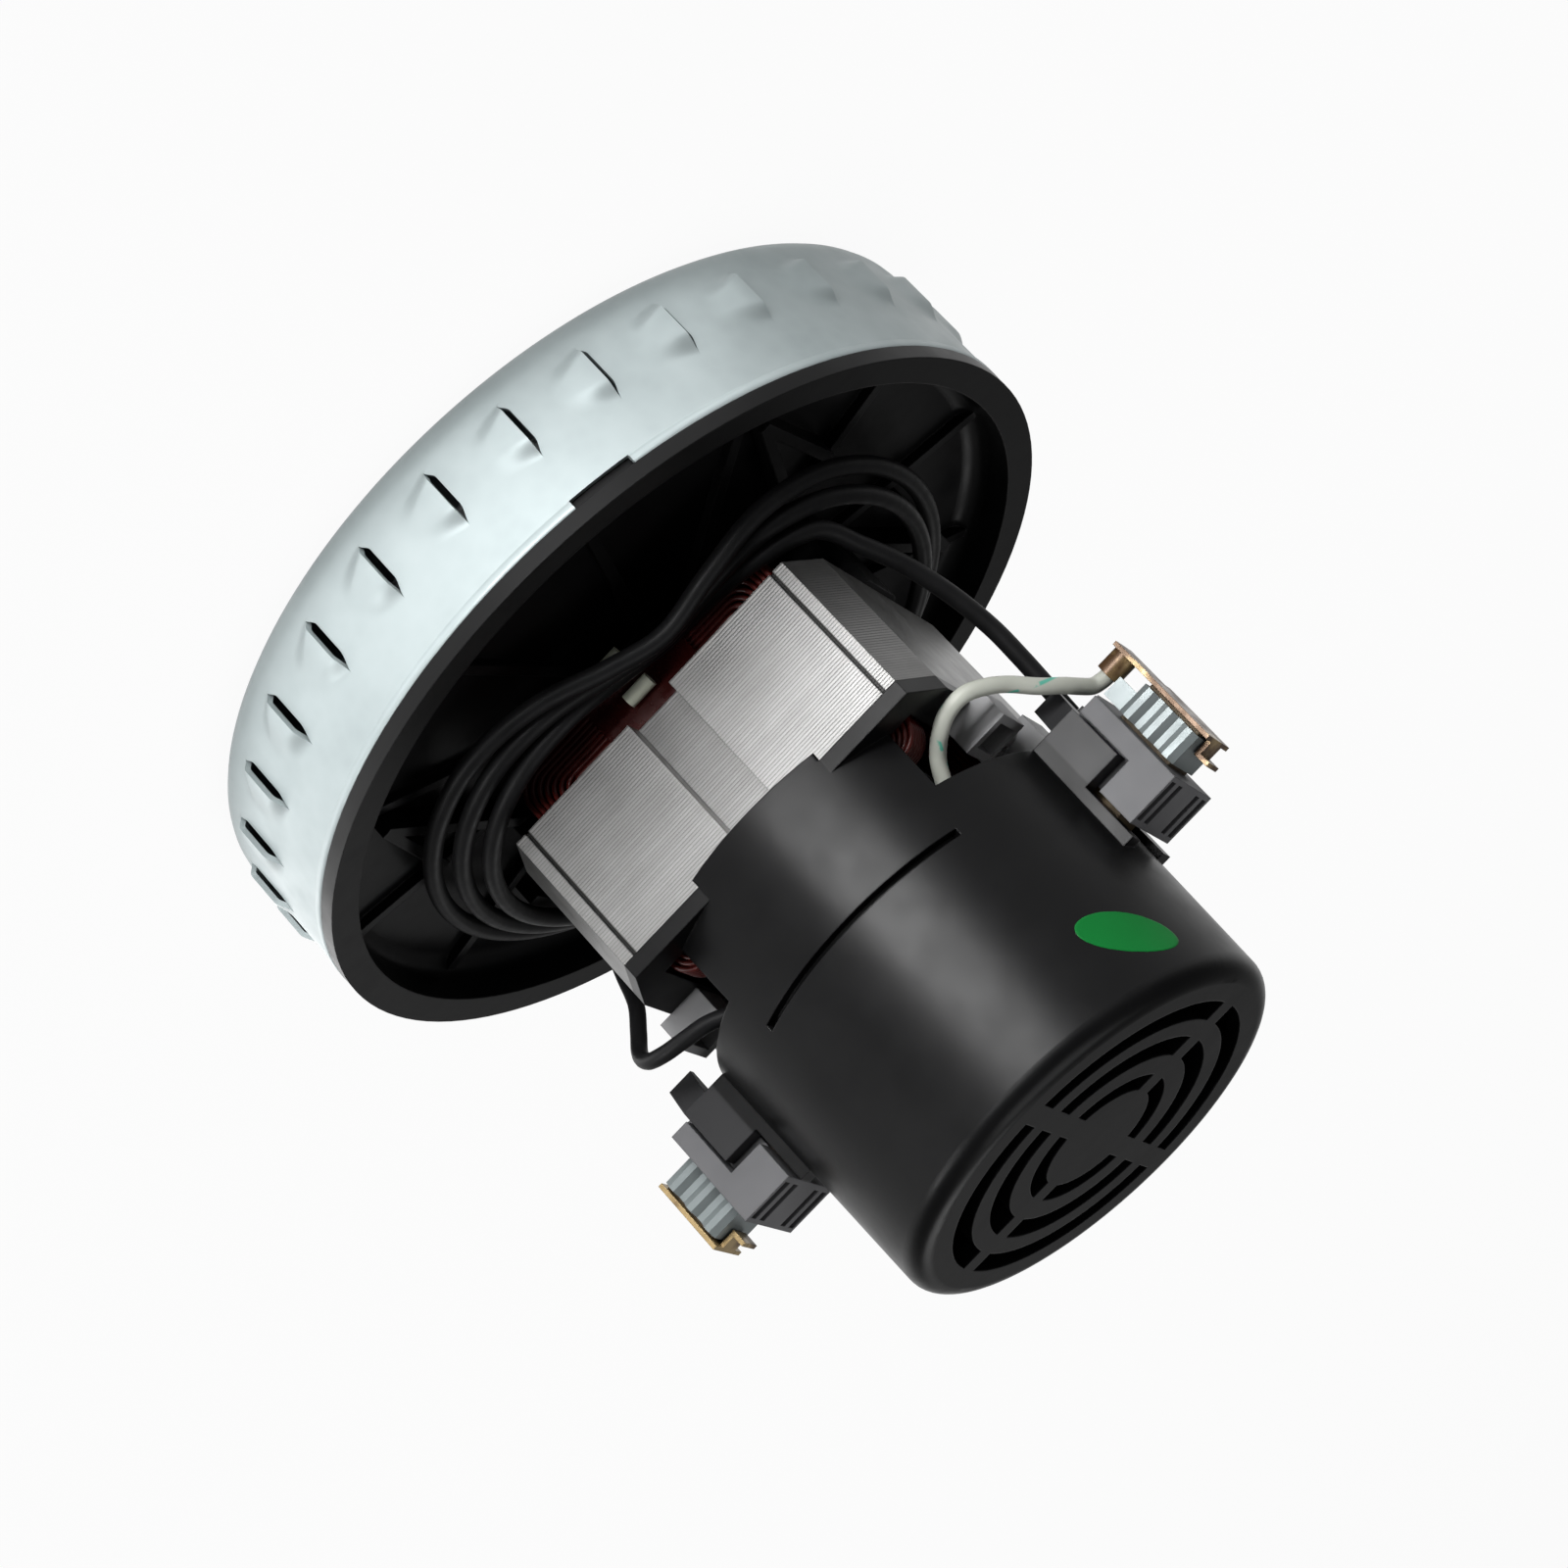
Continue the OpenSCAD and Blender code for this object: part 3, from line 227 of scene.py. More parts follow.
def tube_mesh(name, path, radius, sides, closed=False):
    """A tube along a path in metres: u is the distance along it in metres, v the share round it."""
    count = len(path)
    mesh = bpy.data.meshes.new(name)
    shape = bmesh.new()
    layer = shape.loops.layers.uv.new("along")
    normal = None
    rings = []
    run = [0.0]
    for i, point in enumerate(path):
        after = path[(i + 1) % count] if closed else path[min(i + 1, count - 1)]
        heading = (after - (path[i - 1] if closed else path[max(i - 1, 0)])).normalized()
        if normal is None:
            normal = Vector((0, 0, 1)) if abs(heading.z) < 0.8 else Vector((1, 0, 0))
        normal = (normal - normal.dot(heading) * heading).normalized()
        side = heading.cross(normal)
        turns = [2 * math.pi * k / sides for k in range(sides)]
        rings.append([
            shape.verts.new(point + radius * (math.cos(a) * normal + math.sin(a) * side)) for a in turns])
        if i:
            run.append(run[-1] + (point - path[i - 1]).length)
    spans = list(range(count - 1)) + ([count - 1] if closed else [])
    for i in spans:
        j = (i + 1) % count
        far = run[j] if j else run[i] + (path[0] - path[i]).length
        for k in range(sides):
            m = (k + 1) % sides
            face = shape.faces.new((rings[i][k], rings[i][m], rings[j][m], rings[j][k]))
            marks = ((run[i], k), (run[i], k + 1), (far, k + 1), (far, k))
            for loop, (u, v) in zip(face.loops, marks):
                loop[layer].uv = (u, v / sides)
    if not closed:
        shape.faces.new(list(reversed(rings[0])))
        shape.faces.new(rings[-1])
    bmesh.ops.recalc_face_normals(shape, faces=shape.faces[:])
    shape.to_mesh(mesh)
    shape.free()
    smooth_faces(mesh)
    return mesh


# Materials
def add(tree, kind, inputs=None, **settings):
    item = tree.nodes.new("ShaderNode" + kind)
    for key, value in settings.items():
        setattr(item, key, value)
    for key, value in (inputs or {}).items():
        if isinstance(value, bpy.types.NodeSocket):
            tree.links.new(value, item.inputs[key])
        else:
            item.inputs[key].default_value = value
    return item


def start_material(name, metallic=0.0, specular=0.5):
    material = bpy.data.materials.new(name)
    material.use_nodes = True
    tree = material.node_tree
    shader = tree.nodes["Principled BSDF"]
    shader.inputs["Metallic"].default_value = metallic
    shader.inputs["Specular IOR Level"].default_value = specular
    place = add(tree, "TexCoord").outputs["Object"]
    return material, tree, shader, place


def noise(tree, place, scale, detail=3.0):
    return add(tree, "TexNoise", {"Vector": place, "Scale": scale, "Detail": detail}).outputs["Fac"]


def spread(tree, value, low, high):
    """Maps the middle of a noise's values onto a range."""
    return add(tree, "MapRange", {"Value": value, "From Min": 0.3, "From Max": 0.7, "To Min": low,
        "To Max": high}).outputs["Result"]


def blend_colour(tree, factor, first, second):
    mix = add(tree, "Mix", data_type="RGBA")
    tree.links.new(factor, mix.inputs["Factor"])
    for socket, value in ((mix.inputs[6], first), (mix.inputs[7], second)):
        if isinstance(value, bpy.types.NodeSocket):
            tree.links.new(value, socket)
        else:
            socket.default_value = (*value, 1.0)
    return mix.outputs[2]


def relief(tree, shader, height, strength, depth, edge=0.0):
    """Bump from a height, over edges rounded by a radius in metres."""
    bump = add(tree, "Bump", {"Height": height, "Strength": strength, "Distance": depth})
    if edge:
        bevel = add(tree, "Bevel", {"Radius": edge}, samples=4)
        tree.links.new(bevel.outputs["Normal"], bump.inputs["Normal"])
    tree.links.new(bump.outputs["Normal"], shader.inputs["Normal"])


def plain_finish(name, dark, light, rough, metallic=0.0, specular=0.5, patch=60.0, grain=2500.0,
        depth=0.00002, edge=0.0003):
    """A moulded or metal surface: patches of colour and gloss, fine grain and rounded edges."""
    material, tree, shader, place = start_material(name, metallic, specular)
    cloud = noise(tree, place, patch)
    fine = noise(tree, place, grain, 2.0)
    tree.links.new(blend_colour(tree, spread(tree, cloud, 0.0, 1.0), dark, light),
        shader.inputs["Base Color"])
    tree.links.new(spread(tree, noise(tree, place, patch * 2.7), *rough), shader.inputs["Roughness"])
    relief(tree, shader, fine, 0.3, depth, edge)
    return material


def cap_finish(name):
    """Polished black moulding, lighter grey past SEAT_X from the shaft, where the brush seats stand out of
    its wall.
    """
    material, tree, shader, place = start_material(name, 0.0, 0.12)
    cloud = noise(tree, place, 60.0)
    polished = blend_colour(tree, spread(tree, cloud, 0.0, 1.0),
        (0.0016, 0.0016, 0.0018), (0.0028, 0.0028, 0.003))
    split = add(tree, "SeparateXYZ", {"Vector": place})
    across = add(tree, "Math", {0: split.outputs["X"]}, operation="ABSOLUTE")
    seat = add(tree, "MapRange", {"Value": across.outputs[0], "From Min": SEAT_X * MM,
        "From Max": (SEAT_X + 0.4) * MM})
    tree.links.new(blend_colour(tree, seat.outputs["Result"], polished, (0.022, 0.022, 0.023)),
        shader.inputs["Base Color"])
    tree.links.new(spread(tree, noise(tree, place, 160.0), 0.3, 0.38), shader.inputs["Roughness"])
    relief(tree, shader, noise(tree, place, 2500.0, 2.0), 0.3, 0.000012, 0.0003)
    return material


def lamination_finish(name, dark, light, pitch=0.5, edge=0.0002):
    """Stacked steel sheets: thin lines across the stack, each sheet a little different, and a painted shade
    line along each side groove.
    """
    material, tree, shader, place = start_material(name, 0.92, 0.2)
    split = add(tree, "SeparateXYZ", {"Vector": place})
    sheets = add(tree, "Math", {0: split.outputs["Z"], 1: 1.0 / (pitch * MM)}, operation="MULTIPLY")
    share = add(tree, "Math", {0: sheets.outputs[0]}, operation="FRACT")
    seam = add(tree, "MapRange", {"Value": share.outputs[0], "From Min": 0.0, "From Max": 0.3, "To Min": 0.0,
        "To Max": 1.0})
    number = add(tree, "Math", {0: sheets.outputs[0]}, operation="FLOOR")
    tint = add(tree, "TexWhiteNoise", {"W": number.outputs[0]}, noise_dimensions="1D")
    cloud = noise(tree, place, 70.0)
    shade = add(tree, "Math", {0: tint.outputs["Value"], 1: 0.35}, operation="MULTIPLY")
    mixed = add(tree, "Math", {0: shade.outputs[0], 1: spread(tree, cloud, 0.0, 0.65)}, operation="ADD")
    body = blend_colour(tree, mixed.outputs[0], dark, light)
    line = tuple(0.72 * v for v in dark)
    lined = blend_colour(tree, seam.outputs["Result"], line, body)
    across = add(tree, "Math", {0: split.outputs["X"]}, operation="ABSOLUTE")
    aside = add(tree, "Math", {0: across.outputs[0], 1: GROOVE_X * MM}, operation="SUBTRACT")
    off = add(tree, "Math", {0: aside.outputs[0]}, operation="ABSOLUTE")
    # Painted shade: a dark line at GROOVE_X stands in for the shade inside the stack's side grooves.
    groove = add(tree, "MapRange", {"Value": off.outputs[0], "From Min": 0.00025, "From Max": 0.0005})
    groove_painted_shade = tuple(0.12 * v for v in dark)
    tree.links.new(blend_colour(tree, groove.outputs["Result"], groove_painted_shade, lined), shader.inputs["Base Color"])
    tree.links.new(spread(tree, noise(tree, place, 240.0), 0.32, 0.4), shader.inputs["Roughness"])
    relief(tree, shader, seam.outputs["Result"], 0.35, 0.00006, edge)
    return material


def zinc_finish(name, level=1.0):
    """Zinc plated sheet: a faint spangle, soft cloudiness and very fine drawing marks."""
    material, tree, shader, place = start_material(name, 0.4, 0.4)
    spangle = add(tree, "TexVoronoi", {"Vector": place, "Scale": 420.0})
    cloud = noise(tree, place, 45.0)
    low, high, bright = (tuple(level * v for v in c) for c in (
        (0.288, 0.332, 0.337), (0.346, 0.394, 0.399), (0.465, 0.517, 0.523)))
    grey = blend_colour(tree, spread(tree, cloud, 0.0, 1.0), low, high)
    fleck = add(tree, "MapRange", {"Value": spangle.outputs["Distance"], "From Min": 0.0, "From Max": 0.9,
        "To Min": 0.0, "To Max": 0.12})
    tree.links.new(blend_colour(tree, fleck.outputs["Result"], grey, bright), shader.inputs["Base Color"])
    tree.links.new(spread(tree, noise(tree, place, 160.0), 0.38, 0.5), shader.inputs["Roughness"])
    relief(tree, shader, noise(tree, place, 1800.0, 2.0), 0.15, 0.00001)
    return material


def insulation_finish(name, dark, light, rough, specular=0.4):
    material, tree, shader, place = start_material(name, 0.0, specular)
    tree.links.new(blend_colour(tree, noise(tree, place, 220.0), dark, light), shader.inputs["Base Color"])
    tree.links.new(spread(tree, noise(tree, place, 500.0), *rough), shader.inputs["Roughness"])
    relief(tree, shader, noise(tree, place, 1600.0), 0.2, 0.00003)
    return material


def flecked_finish(name):
    """White insulation with a broken green tracer line along it."""
    material, tree, shader, place = start_material(name, 0.0, 0.4)
    along = add(tree, "UVMap", uv_map="along")
    split = add(tree, "SeparateXYZ", {"Vector": along.outputs["UV"]})
    turn = add(tree, "Math", {0: split.outputs["X"], 1: 55.0}, operation="MULTIPLY")
    spiral = add(tree, "Math", {0: turn.outputs[0], 1: split.outputs["Y"]}, operation="ADD")
    around = add(tree, "Math", {0: spiral.outputs[0]}, operation="FRACT")
    near = add(tree, "MapRange", {"Value": around.outputs[0], "From Min": 0.02, "From Max": 0.05,
        "To Min": 0.0, "To Max": 1.0})
    far = add(tree, "MapRange", {"Value": around.outputs[0], "From Min": 0.10, "From Max": 0.13,
        "To Min": 1.0, "To Max": 0.0})
    band = add(tree, "Math", {0: near.outputs["Result"], 1: far.outputs["Result"]}, operation="MULTIPLY")
    broken = add(tree, "MapRange", {"Value": noise(tree, place, 330.0), "From Min": 0.48, "From Max": 0.54})
    mark = add(tree, "Math", {0: band.outputs[0], 1: broken.outputs["Result"]}, operation="MULTIPLY")
    white = blend_colour(tree, noise(tree, place, 180.0), (0.3, 0.31, 0.27), (0.39, 0.4, 0.36))
    tree.links.new(blend_colour(tree, mark.outputs[0], white, (0.07, 0.32, 0.24)),
        shader.inputs["Base Color"])
    tree.links.new(spread(tree, noise(tree, place, 600.0), 0.4, 0.55), shader.inputs["Roughness"])
    relief(tree, shader, noise(tree, place, 1500.0), 0.2, 0.00003)
    return material


def film_finish(name):
    """Red insulating film: glossy, a little uneven and creased; its dark red is darkened further as painted
    shade.
    """
    material, tree, shader, place = start_material(name, 0.0, 0.5)
    cloud = noise(tree, place, 140.0)
    # Painted shade: the red is darkened to stand in for the shadow the film lies in.
    red = blend_colour(tree, cloud, (0.018, 0.002, 0.0017), (0.048, 0.0045, 0.0034))
    tree.links.new(red, shader.inputs["Base Color"])
    tree.links.new(spread(tree, noise(tree, place, 300.0), 0.18, 0.34), shader.inputs["Roughness"])
    relief(tree, shader, noise(tree, place, 260.0), 0.5, 0.00015)
    return material


def brass_finish(name):
    """Stamped brass, browned in patches."""
    material, tree, shader, place = start_material(name, 0.35, 0.3)
    split = add(tree, "SeparateXYZ", {"Vector": place})
    side = add(tree, "Math", {0: split.outputs["X"], 1: -2.4}, operation="MULTIPLY")
    worn = add(tree, "Math", {0: side.outputs[0], 1: noise(tree, place, 210.0)}, operation="ADD")
    stain = add(tree, "MapRange", {"Value": worn.outputs[0], "From Min": 0.42, "From Max": 0.6})
    tree.links.new(blend_colour(tree, stain.outputs["Result"], (0.3, 0.215, 0.1), (0.07, 0.038, 0.018)),
        shader.inputs["Base Color"])
    tree.links.new(spread(tree, noise(tree, place, 420.0), 0.26, 0.48), shader.inputs["Roughness"])
    relief(tree, shader, noise(tree, place, 1900.0), 0.2, 0.00002, 0.00015)
    return material


FINISHES = {
    "zinc_sheet": zinc_finish("zinc_sheet"),
    "black_plastic": cap_finish("black_plastic"),
    "grey_plastic": plain_finish("grey_plastic", (0.08, 0.08, 0.084), (0.115, 0.115, 0.12), (0.5, 0.62),
        specular=0.2, grain=1600.0),
    "lamination": lamination_finish("lamination", (0.138, 0.137, 0.134), (0.184, 0.183, 0.18)),
    "copper": plain_finish("copper", (0.03, 0.004, 0.003), (0.08, 0.008, 0.006), (0.25, 0.4),
        specular=0.3, edge=0.0),
    "red_film": film_finish("red_film"),
    "steel": plain_finish("steel", (0.46, 0.46, 0.46), (0.6, 0.6, 0.6), (0.25, 0.38),
        metallic=1.0, edge=0.00015),
    "brass": brass_finish("brass"),
    "carbon": plain_finish("carbon", (0.02, 0.02, 0.021), (0.045, 0.045, 0.047), (0.55, 0.7), edge=0.0002),
    "resin": plain_finish("resin", (0.07, 0.03, 0.015), (0.13, 0.06, 0.03), (0.4, 0.55)),
    "aluminium": plain_finish("aluminium", (0.62, 0.63, 0.64), (0.76, 0.77, 0.78), (0.3, 0.42),
        metallic=1.0),
    "black_insulation": insulation_finish("black_insulation", (0.004, 0.004, 0.0043), (0.01, 0.01, 0.0105),
        (0.4, 0.5), 0.12),
    "white_insulation": flecked_finish("white_insulation"),
}
# Painted shade: the brush clips take a copy of the zinc finish darkened to 0.45 of its brightness, standing
# in for shade.
SHADED_CLIP_ZINC = zinc_finish("clip_zinc_painted_shade", 0.45)
# Painted shade: the brush tubes get a brass darkened to stand in for the shadow they sit in.
SHADED_TUBE_BRASS = plain_finish("tube_brass_painted_shade", (0.03, 0.02, 0.01), (0.07, 0.048, 0.022), (0.45, 0.6), metallic=0.2,
    specular=0.2)
BLOCK_GREY = plain_finish("block_grey", (0.19, 0.19, 0.195), (0.25, 0.25, 0.255), (0.5, 0.62), grain=1600.0)
SLEEVE_WHITE = insulation_finish("sleeve_white", (0.5, 0.53, 0.42), (0.66, 0.68, 0.57), (0.4, 0.55))
BOWL_BLACK = plain_finish("bowl_black", (0.0018, 0.0018, 0.002), (0.003, 0.003, 0.0032), (0.34, 0.46),
    specular=0.14, depth=0.000012)
STICKER_GREEN = plain_finish("sticker_green", (0.003, 0.092, 0.016), (0.004, 0.108, 0.021), (0.32, 0.42),
    specular=0.06, edge=0.0)


def dress_nodes():
    slots = {row["node"]: row["material_slot"] for row in frame["record"]["subparts"]}
    for name, piece in NODES.items():
        piece.data.materials.clear()
        piece.data.materials.append(FINISHES[slots[name]])
    for name in ("terminal_block_left", "terminal_block_right"):
        NODES[name].data.materials[0] = BLOCK_GREY
    for name in ("brush_tube_left", "brush_tube_right"):
        NODES[name].data.materials[0] = SHADED_TUBE_BRASS
    for name in ("brush_clip_left", "brush_clip_right"):
        NODES[name].data.materials[0] = SHADED_CLIP_ZINC
    NODES["lead_sleeves"].data.materials[0] = SLEEVE_WHITE
    NODES["front_bracket"].data.materials[0] = BOWL_BLACK


# Leads
def lead_point(turn):
    """A point of the black lead's coil in the bowl, pinched in under the stack at one angle."""
    angle = LEAD_FIRST_ANGLE - 360.0 * turn
    off = (angle - LEAD_PINCH_ANGLE + 180.0) % 360.0 - 180.0
    dip = math.exp(-(off / LEAD_PINCH_SPREAD) ** 2)
    radius = LEAD_R - LEAD_STEP_R * turn - (LEAD_PINCH - LEAD_STEP_PINCH * turn) * dip
    z = (LEAD_LOW + LEAD_STEP_Z * turn) * (1.0 - dip) + (LEAD_TIE_Z - LEAD_TIE_STEP * turn) * dip
    a = math.radians(angle)
    return (radius * math.cos(a), radius * math.sin(a), z)


def make_lead(name, route, diameter, slot):
    path = straight_ends(catmull([metres(p) for p in route], ROUTE_STEPS), ROUTE_STEPS)
    mesh = tube_mesh(name, path, diameter / 2 * MM, LEAD_SIDES)
    piece = new_object(name, mesh, FINISHES[slot])
    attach(piece, "housing")
    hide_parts(name.replace("_wire", "_lead"))


def make_leads():
    turns = [lead_point(i / LEAD_STEPS) for i in range(1, round(LEAD_STEPS * LEAD_TURNS) + 1)]
    make_lead("black_wire", LEAD_IN + turns + LEAD_TAIL, LEAD_D, "black_insulation")
    make_lead("white_wire", WHITE_ROUTE, WHITE_D, "white_insulation")
    make_lead("link_wire", LINK_ROUTE, LINK_D, "black_insulation")


# Brush springs
def make_springs():
    count = SPRING_STEPS * SPRING_TURNS
    rest = SPRING_X[1] - SPRING_X[0]
    for side, sign in (("left", -1), ("right", 1)):
        path = []
        for i in range(count + 1):
            share = i / count
            a = 2 * math.pi * SPRING_TURNS * share
            x = SPRING_X[0] + SPRING_WIRE / 2 + share * (rest - SPRING_WIRE)
            path.append(metres((sign * x, SPRING_R * math.cos(a), BRUSH_Z + SPRING_R * math.sin(a))))
        name = "spring_" + side
        mesh = tube_mesh(name, path, SPRING_WIRE / 2 * MM, 10)
        piece = new_object(name, mesh, FINISHES["steel"])
        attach(piece, "housing")
        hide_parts("brush_spring_" + side)
        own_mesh(piece)


# Fan cover
def cover_profile():
    """The sheet's outer face as radius and height, from the collar's edge to the rim."""
    fillet = SHEET_T
    points = [(EYE_R, COLLAR_H), (EYE_R, 2.0), (EYE_R, fillet)]
    for k in (1, 2, 3):
        a = math.radians(30 * k)
        points.append((EYE_R + fillet * (1 - math.cos(a)), fillet * (1 - math.sin(a))))
    points += [(r, 0.0) for r in (24.0, 32.0, 42.0, 52.0, 58.0)]
    for k in range(7):
        a = math.radians(15 * k)
        points.append((COVER_R - COVER_BEND * (1 - math.sin(a)), COVER_BEND * (1 - math.cos(a))))
    low = LOUVRE_Z - LOUVRE_LEN / 2 - LOUVRE_MARGIN
    points.append((COVER_R, (COVER_BEND + low) / 2))
    span = LOUVRE_LEN + 2 * LOUVRE_MARGIN
    points += [(COVER_R, low + span * k / LOUVRE_ROWS) for k in range(LOUVRE_ROWS + 1)]
    band = COVER_H - RIM_BAND
    notch = COVER_H - NOTCH_DEPTH
    points += [(COVER_R, 19.0), (COVER_R, 22.0), (COVER_R, notch), (COVER_R, band - 0.1)]
    points += [(COVER_R + RIM_BEAD, band + 0.1), (COVER_R + RIM_BEAD, COVER_H - 0.2),
        (COVER_R + 0.1, COVER_H)]
    return points


def ease(x):
    x = min(max(x, 0.0), 1.0)
    return x * x * (3.0 - 2.0 * x)


def louvre_height(run, z):
    """How far a louvre stands out at a distance round from its lip and a height."""
    if not 0.0 <= run < LOUVRE_RUN:
        return 0.0
    share = run / LOUVRE_RUN
    fall = 0.3 * (1.0 - share) + 0.7 * 0.5 * (1.0 + math.cos(math.pi * share))
    lip_flank, more = FLANK_RIM if z > LOUVRE_Z else FLANK_INLET
    flank = lip_flank + more * share
    half = LOUVRE_LEN / 2 * (1.0 - (1.0 - LOUVRE_TAPER) * share)
    return LOUVRE_LIFT * fall * ease((half + 0.1 - abs(z - LOUVRE_Z)) / flank)


def slit_width(z):
    """The opening beside a louvre's lip at a height: it closes where the lip comes down to the wall."""
    if abs(z - LOUVRE_Z) < LOUVRE_LEN / 2:
        return LOUVRE_GAP * louvre_height(0.0, z) / LOUVRE_LIFT
    return LOUVRE_GAP


def make_cover():
    """The pressed sheet, one sector for each louvre, with its slits left open and its rim notched."""
    pitch = 360.0 / LOUVRE_N
    flat = math.radians(pitch) * COVER_R
    steps = [-LOUVRE_GAP, 0.0, 0.12] + [0.41 * k for k in range(1, 19)] + [8.8, 10.6, flat - LOUVRE_GAP]
    profile = cover_profile()
    shape = bmesh.new()
    for k in range(LOUVRE_N):
        start = math.radians(LOUVRE_ANGLE + pitch * k)
        grid = []
        for run in steps:
            column = []
            for radius, z in profile:
                wall = radius == COVER_R
                r = radius + (louvre_height(run, z) if wall else 0.0)
                beside_slit = wall and run in (steps[0], steps[-1])
                a = start + (run + (LOUVRE_GAP - slit_width(z) if beside_slit else 0.0)) / COVER_R
                column.append(shape.verts.new(metres((r * math.cos(a), r * math.sin(a), z))))
            grid.append(column)
        for step, (left, right) in enumerate(zip(grid, grid[1:])):
            for low, high in zip(range(len(profile)), range(1, len(profile))):
                middle = (profile[low][1] + profile[high][1]) / 2
                wall = profile[low][0] == profile[high][0] == COVER_R
                if step or not wall or abs(middle - LOUVRE_Z) > LOUVRE_LEN / 2:
                    shape.faces.new((left[low], right[low], right[high], left[high]))
    bmesh.ops.remove_doubles(shape, verts=shape.verts[:], dist=0.00001)
    floor = (COVER_H - NOTCH_DEPTH + 0.05) * MM
    cut = []
    for face in shape.faces:
        middle = face.calc_center_median()
        if middle.z > floor:
            angle = math.degrees(math.atan2(middle.y, middle.x))
            for notch in NOTCH_ANGLES:
                off = (angle - notch + 180.0) % 360.0 - 180.0
                if abs(math.radians(off)) * COVER_R < NOTCH_W / 2:
                    cut.append(face)
    bmesh.ops.delete(shape, geom=cut, context="FACES")
    bmesh.ops.recalc_face_normals(shape, faces=shape.faces[:])
    outer = max(shape.faces, key=lambda face: face.calc_center_median().to_2d().length)
    if outer.normal.dot(outer.calc_center_median()) < 0:
        bmesh.ops.reverse_faces(shape, faces=shape.faces[:])
    for edge in shape.edges:
        edge.smooth = not edge.is_boundary
    mesh = bpy.data.meshes.new("louvred_cover")
    shape.to_mesh(mesh)
    shape.free()
    smooth_faces(mesh)
    piece = new_object("louvred_cover", mesh, FINISHES["zinc_sheet"])
    sheet = piece.modifiers.new("sheet", "SOLIDIFY")
    sheet.thickness = SHEET_T * MM
    sheet.offset = -1.0
    sheet.use_even_offset = True
    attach(piece, "housing")
    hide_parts("fan_cover")


# Field coils
def coil_loop(share, y):
    """One turn of a coil at a share of the way out from the pole and a depth, as a rounded loop."""
    x = COIL_X[0] + share * (COIL_X[1] - COIL_X[0])
    low = STACK_Z[0] - share * (STACK_Z[0] - COIL_Z[0])
    high = STACK_Z[1] + share * (COIL_Z[1] - STACK_Z[1])
    bend = 1.0 + 3.0 * share
    corners = ((x - bend, high - bend, 0), (bend - x, high - bend, 90), (bend - x, low + bend, 180),
        (x - bend, low + bend, 270))
    path = []
    for cx, cz, start in corners:
        for k in range(7):
            a = math.radians(start + 15 * k)
            path.append(metres((cx + bend * math.cos(a), y, cz + bend * math.sin(a))))
    return path


def make_coils():
    half = COIL_WIRE / 2 / (COIL_X[1] - COIL_X[0])
    for name, sign in (("near", -1), ("far", 1)):
        shape = bmesh.new()
        turns = []
        for k in range(COIL_ACROSS):
            share = half + (1 - 2 * half) * k / (COIL_ACROSS - 1)
            turns += [(share, COIL_Y[0] + COIL_WIRE / 2), (share, COIL_Y[1] - COIL_WIRE / 2)]
        for k in range(1, COIL_DEEP - 1):
            y = COIL_Y[0] + COIL_WIRE / 2 + (COIL_Y[1] - COIL_Y[0] - COIL_WIRE) * k / (COIL_DEEP - 1)
            turns += [(half, y), (1 - half, y)]
        for share, y in turns:
            mesh = tube_mesh("turn", coil_loop(share, sign * y), COIL_WIRE / 2 * MM, 8, closed=True)
            shape.from_mesh(mesh)
            bpy.data.meshes.remove(mesh)
        mesh = bpy.data.meshes.new("coil_turns_" + name)
        shape.to_mesh(mesh)
        shape.free()
        smooth_faces(mesh)
        piece = new_object("coil_turns_" + name, mesh, FINISHES["copper"])
        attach(piece, "housing")
        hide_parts("field_coil_" + name)


# Sticker
def make_sticker():
    """A thin oval laid on the end cap, each point dropped onto the cap's own face."""
    cap = NODES["end_bracket"]
    tree = BVHTree.FromPolygons([v.co for v in cap.data.vertices], [p.vertices for p in cap.data.polygons])
    middle = math.radians(STICKER_ANGLE)
    long_axis = Vector(STICKER_AXIS).normalized()
    short_axis = Vector((-long_axis.y, long_axis.x))
    shape = bmesh.new()

    def on_cap(share, turn):
        flat = long_axis * (STICKER_SIZE[0] / 2 * share * math.cos(turn))
        flat = flat + short_axis * (STICKER_SIZE[1] / 2 * share * math.sin(turn))
        a = middle + flat.x / CAP_R
        away = Vector((math.sin(a), -math.cos(a), 0.0))
        start = away * 0.06 + Vector((0, 0, (STICKER_Z + flat.y) * MM))
        hit = tree.ray_cast(start, -away)[0]
        return shape.verts.new(hit + away * (STICKER_LIFT * MM) * (1.0 if share < 1.0 else 0.3))

    turns = [2 * math.pi * k / STICKER_SIDES for k in range(STICKER_SIDES)]
    rings = [[on_cap(share, turn) for turn in turns] for share in STICKER_RINGS]
    shape.faces.new(rings[0])
    for inner, outer in zip(rings, rings[1:]):
        for k in range(STICKER_SIDES):
            m = (k + 1) % STICKER_SIDES
            shape.faces.new((inner[k], outer[k], outer[m], inner[m]))
    bmesh.ops.recalc_face_normals(shape, faces=shape.faces[:])
    shape.faces.ensure_lookup_table()
    first = shape.faces[0]
    if first.normal.dot(first.calc_center_median().to_2d().to_3d()) < 0:
        bmesh.ops.reverse_faces(shape, faces=shape.faces[:])
    mesh = bpy.data.meshes.new("oval_sticker")
    shape.to_mesh(mesh)
    shape.free()
    smooth_faces(mesh)
    piece = new_object("oval_sticker", mesh, STICKER_GREEN)
    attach(piece, "housing")


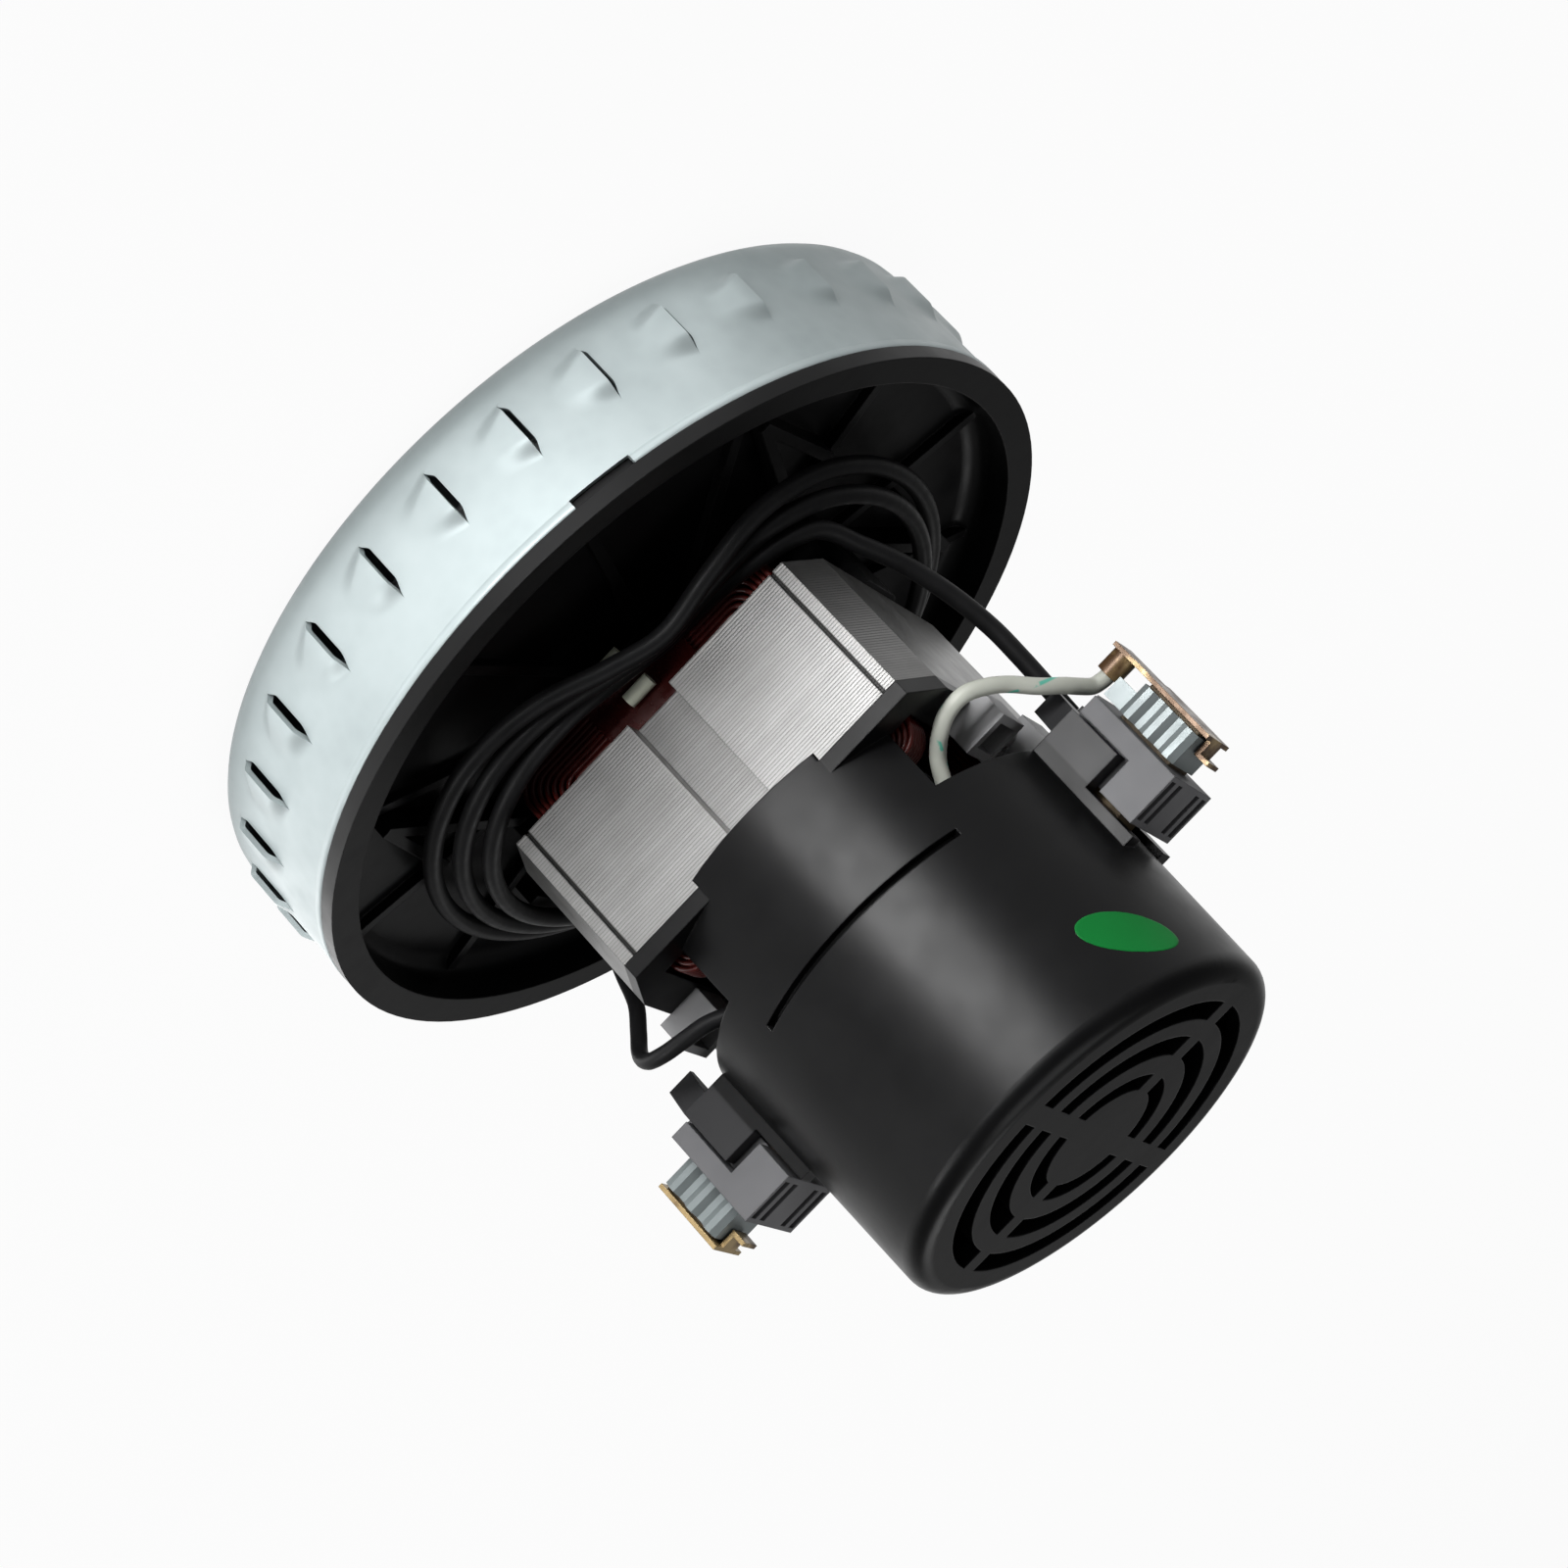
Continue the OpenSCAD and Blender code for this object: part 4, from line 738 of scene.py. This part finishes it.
# Floor, world and lights
def make_floor():
    mesh = bpy.data.meshes.new("floor")
    low, high = -FLOOR_HALF, FLOOR_HALF
    mesh.from_pydata([(low, low, 0), (high, low, 0), (high, high, 0), (low, high, 0)], [], [(0, 1, 2, 3)])
    material = bpy.data.materials.new("floor")
    material.use_nodes = True
    tree = material.node_tree
    tree.nodes.remove(tree.nodes["Principled BSDF"])
    place = add(tree, "TexCoord").outputs["Object"]
    paper = blend_colour(tree, noise(tree, place, 3.0), (0.84, 0.84, 0.84), (0.88, 0.88, 0.88))
    matt = add(tree, "BsdfDiffuse", {"Color": paper})
    white = add(tree, "Emission", {"Color": (1, 1, 1, 1), "Strength": 1.0})
    seen = seen_rays(tree)
    part = add(tree, "Math", {0: seen, 1: FLOOR_WHITE}, operation="MULTIPLY")
    mix = add(tree, "MixShader", {0: part.outputs[0], 1: matt.outputs[0], 2: white.outputs[0]})
    tree.links.new(mix.outputs[0], tree.nodes["Material Output"].inputs["Surface"])
    new_object("floor", mesh, material)


def seen_rays(tree):
    """1 for camera, glossy and transmission rays, and 0 for the rays that light the object."""
    path = add(tree, "LightPath")
    seen = path.outputs["Is Camera Ray"]
    for kind in ("Is Glossy Ray", "Is Transmission Ray"):
        seen = add(tree, "Math", {0: seen, 1: path.outputs[kind]}, operation="MAXIMUM").outputs[0]
    return seen


def make_world():
    """A pale studio: bright near the horizon and dimmer overhead."""
    world = bpy.data.worlds.new("studio")
    bpy.context.scene.world = world
    world.use_nodes = True
    tree = world.node_tree
    back = tree.nodes["Background"]
    back.inputs["Color"].default_value = (1.0, 1.0, 1.0, 1.0)
    way = add(tree, "SeparateXYZ", {"Vector": add(tree, "TexCoord").outputs["Generated"]})
    level = add(tree, "MapRange", {"Value": way.outputs["Z"], "From Min": 0.0, "From Max": 0.3, "To Min": 0.6,
        "To Max": 0.15})
    tree.links.new(level.outputs["Result"], back.inputs["Strength"])


def make_light(name, at, aim, size, power):
    """A soft rectangular lamp that the camera doesn't see."""
    data = bpy.data.lights.new(name, "AREA")
    data.shape = "RECTANGLE"
    data.size, data.size_y = size
    data.energy = power
    lamp = bpy.data.objects.new(name, data)
    bpy.context.scene.collection.objects.link(lamp)
    lamp.location = at
    lamp.rotation_euler = (Vector(aim) - Vector(at)).to_track_quat("-Z", "Y").to_euler()
    lamp.visible_camera = False


def make_panel(name, at, size, power, turn=0.0):
    """A soft panel that lies on the floor, turned about the vertical, and shines up at the object."""
    make_light(name, at, (at[0], at[1], 1.0), size, power)
    bpy.data.objects[name].rotation_euler = (math.pi, 0.0, turn)


def make_studio():
    bpy.context.scene.view_settings.view_transform = "Standard"
    make_world()
    make_floor()
    for k in range(CARD_N):
        turn = math.radians(CARD_STEP * k + CARD_FIRST)
        at = (CARD_R * math.sin(turn), -CARD_R * math.cos(turn), PANEL_Z)
        make_panel("card_%d" % k, at, CARD_SIZE, CARD_POWER if k else CARD_POWER_FIRST, turn)
    make_panel("far_panel", (-0.06, -0.29, PANEL_Z), (0.16, 0.2), 3.3)
    make_light("front", (0.15, -0.88, 0.03), (0.0, 0.0, 0.03), (0.5, 0.05), 1.6)
    make_light("side", (0.8, -0.5, 0.1), (0.0, 0.0, 0.07), (0.4, 0.2), 2.4)
    make_light("back", (0.5, 0.8, 0.9), (0.0, 0.0, 0.06), (0.5, 0.5), 2.0)
    make_light("top", (0.0, -0.05, 0.95), (0.0, 0.0, 0.06), (0.6, 0.6), 3.0)


make_camera()
make_leads()
dress_nodes()
make_springs()
make_cover()
make_coils()
make_sticker()
make_studio()
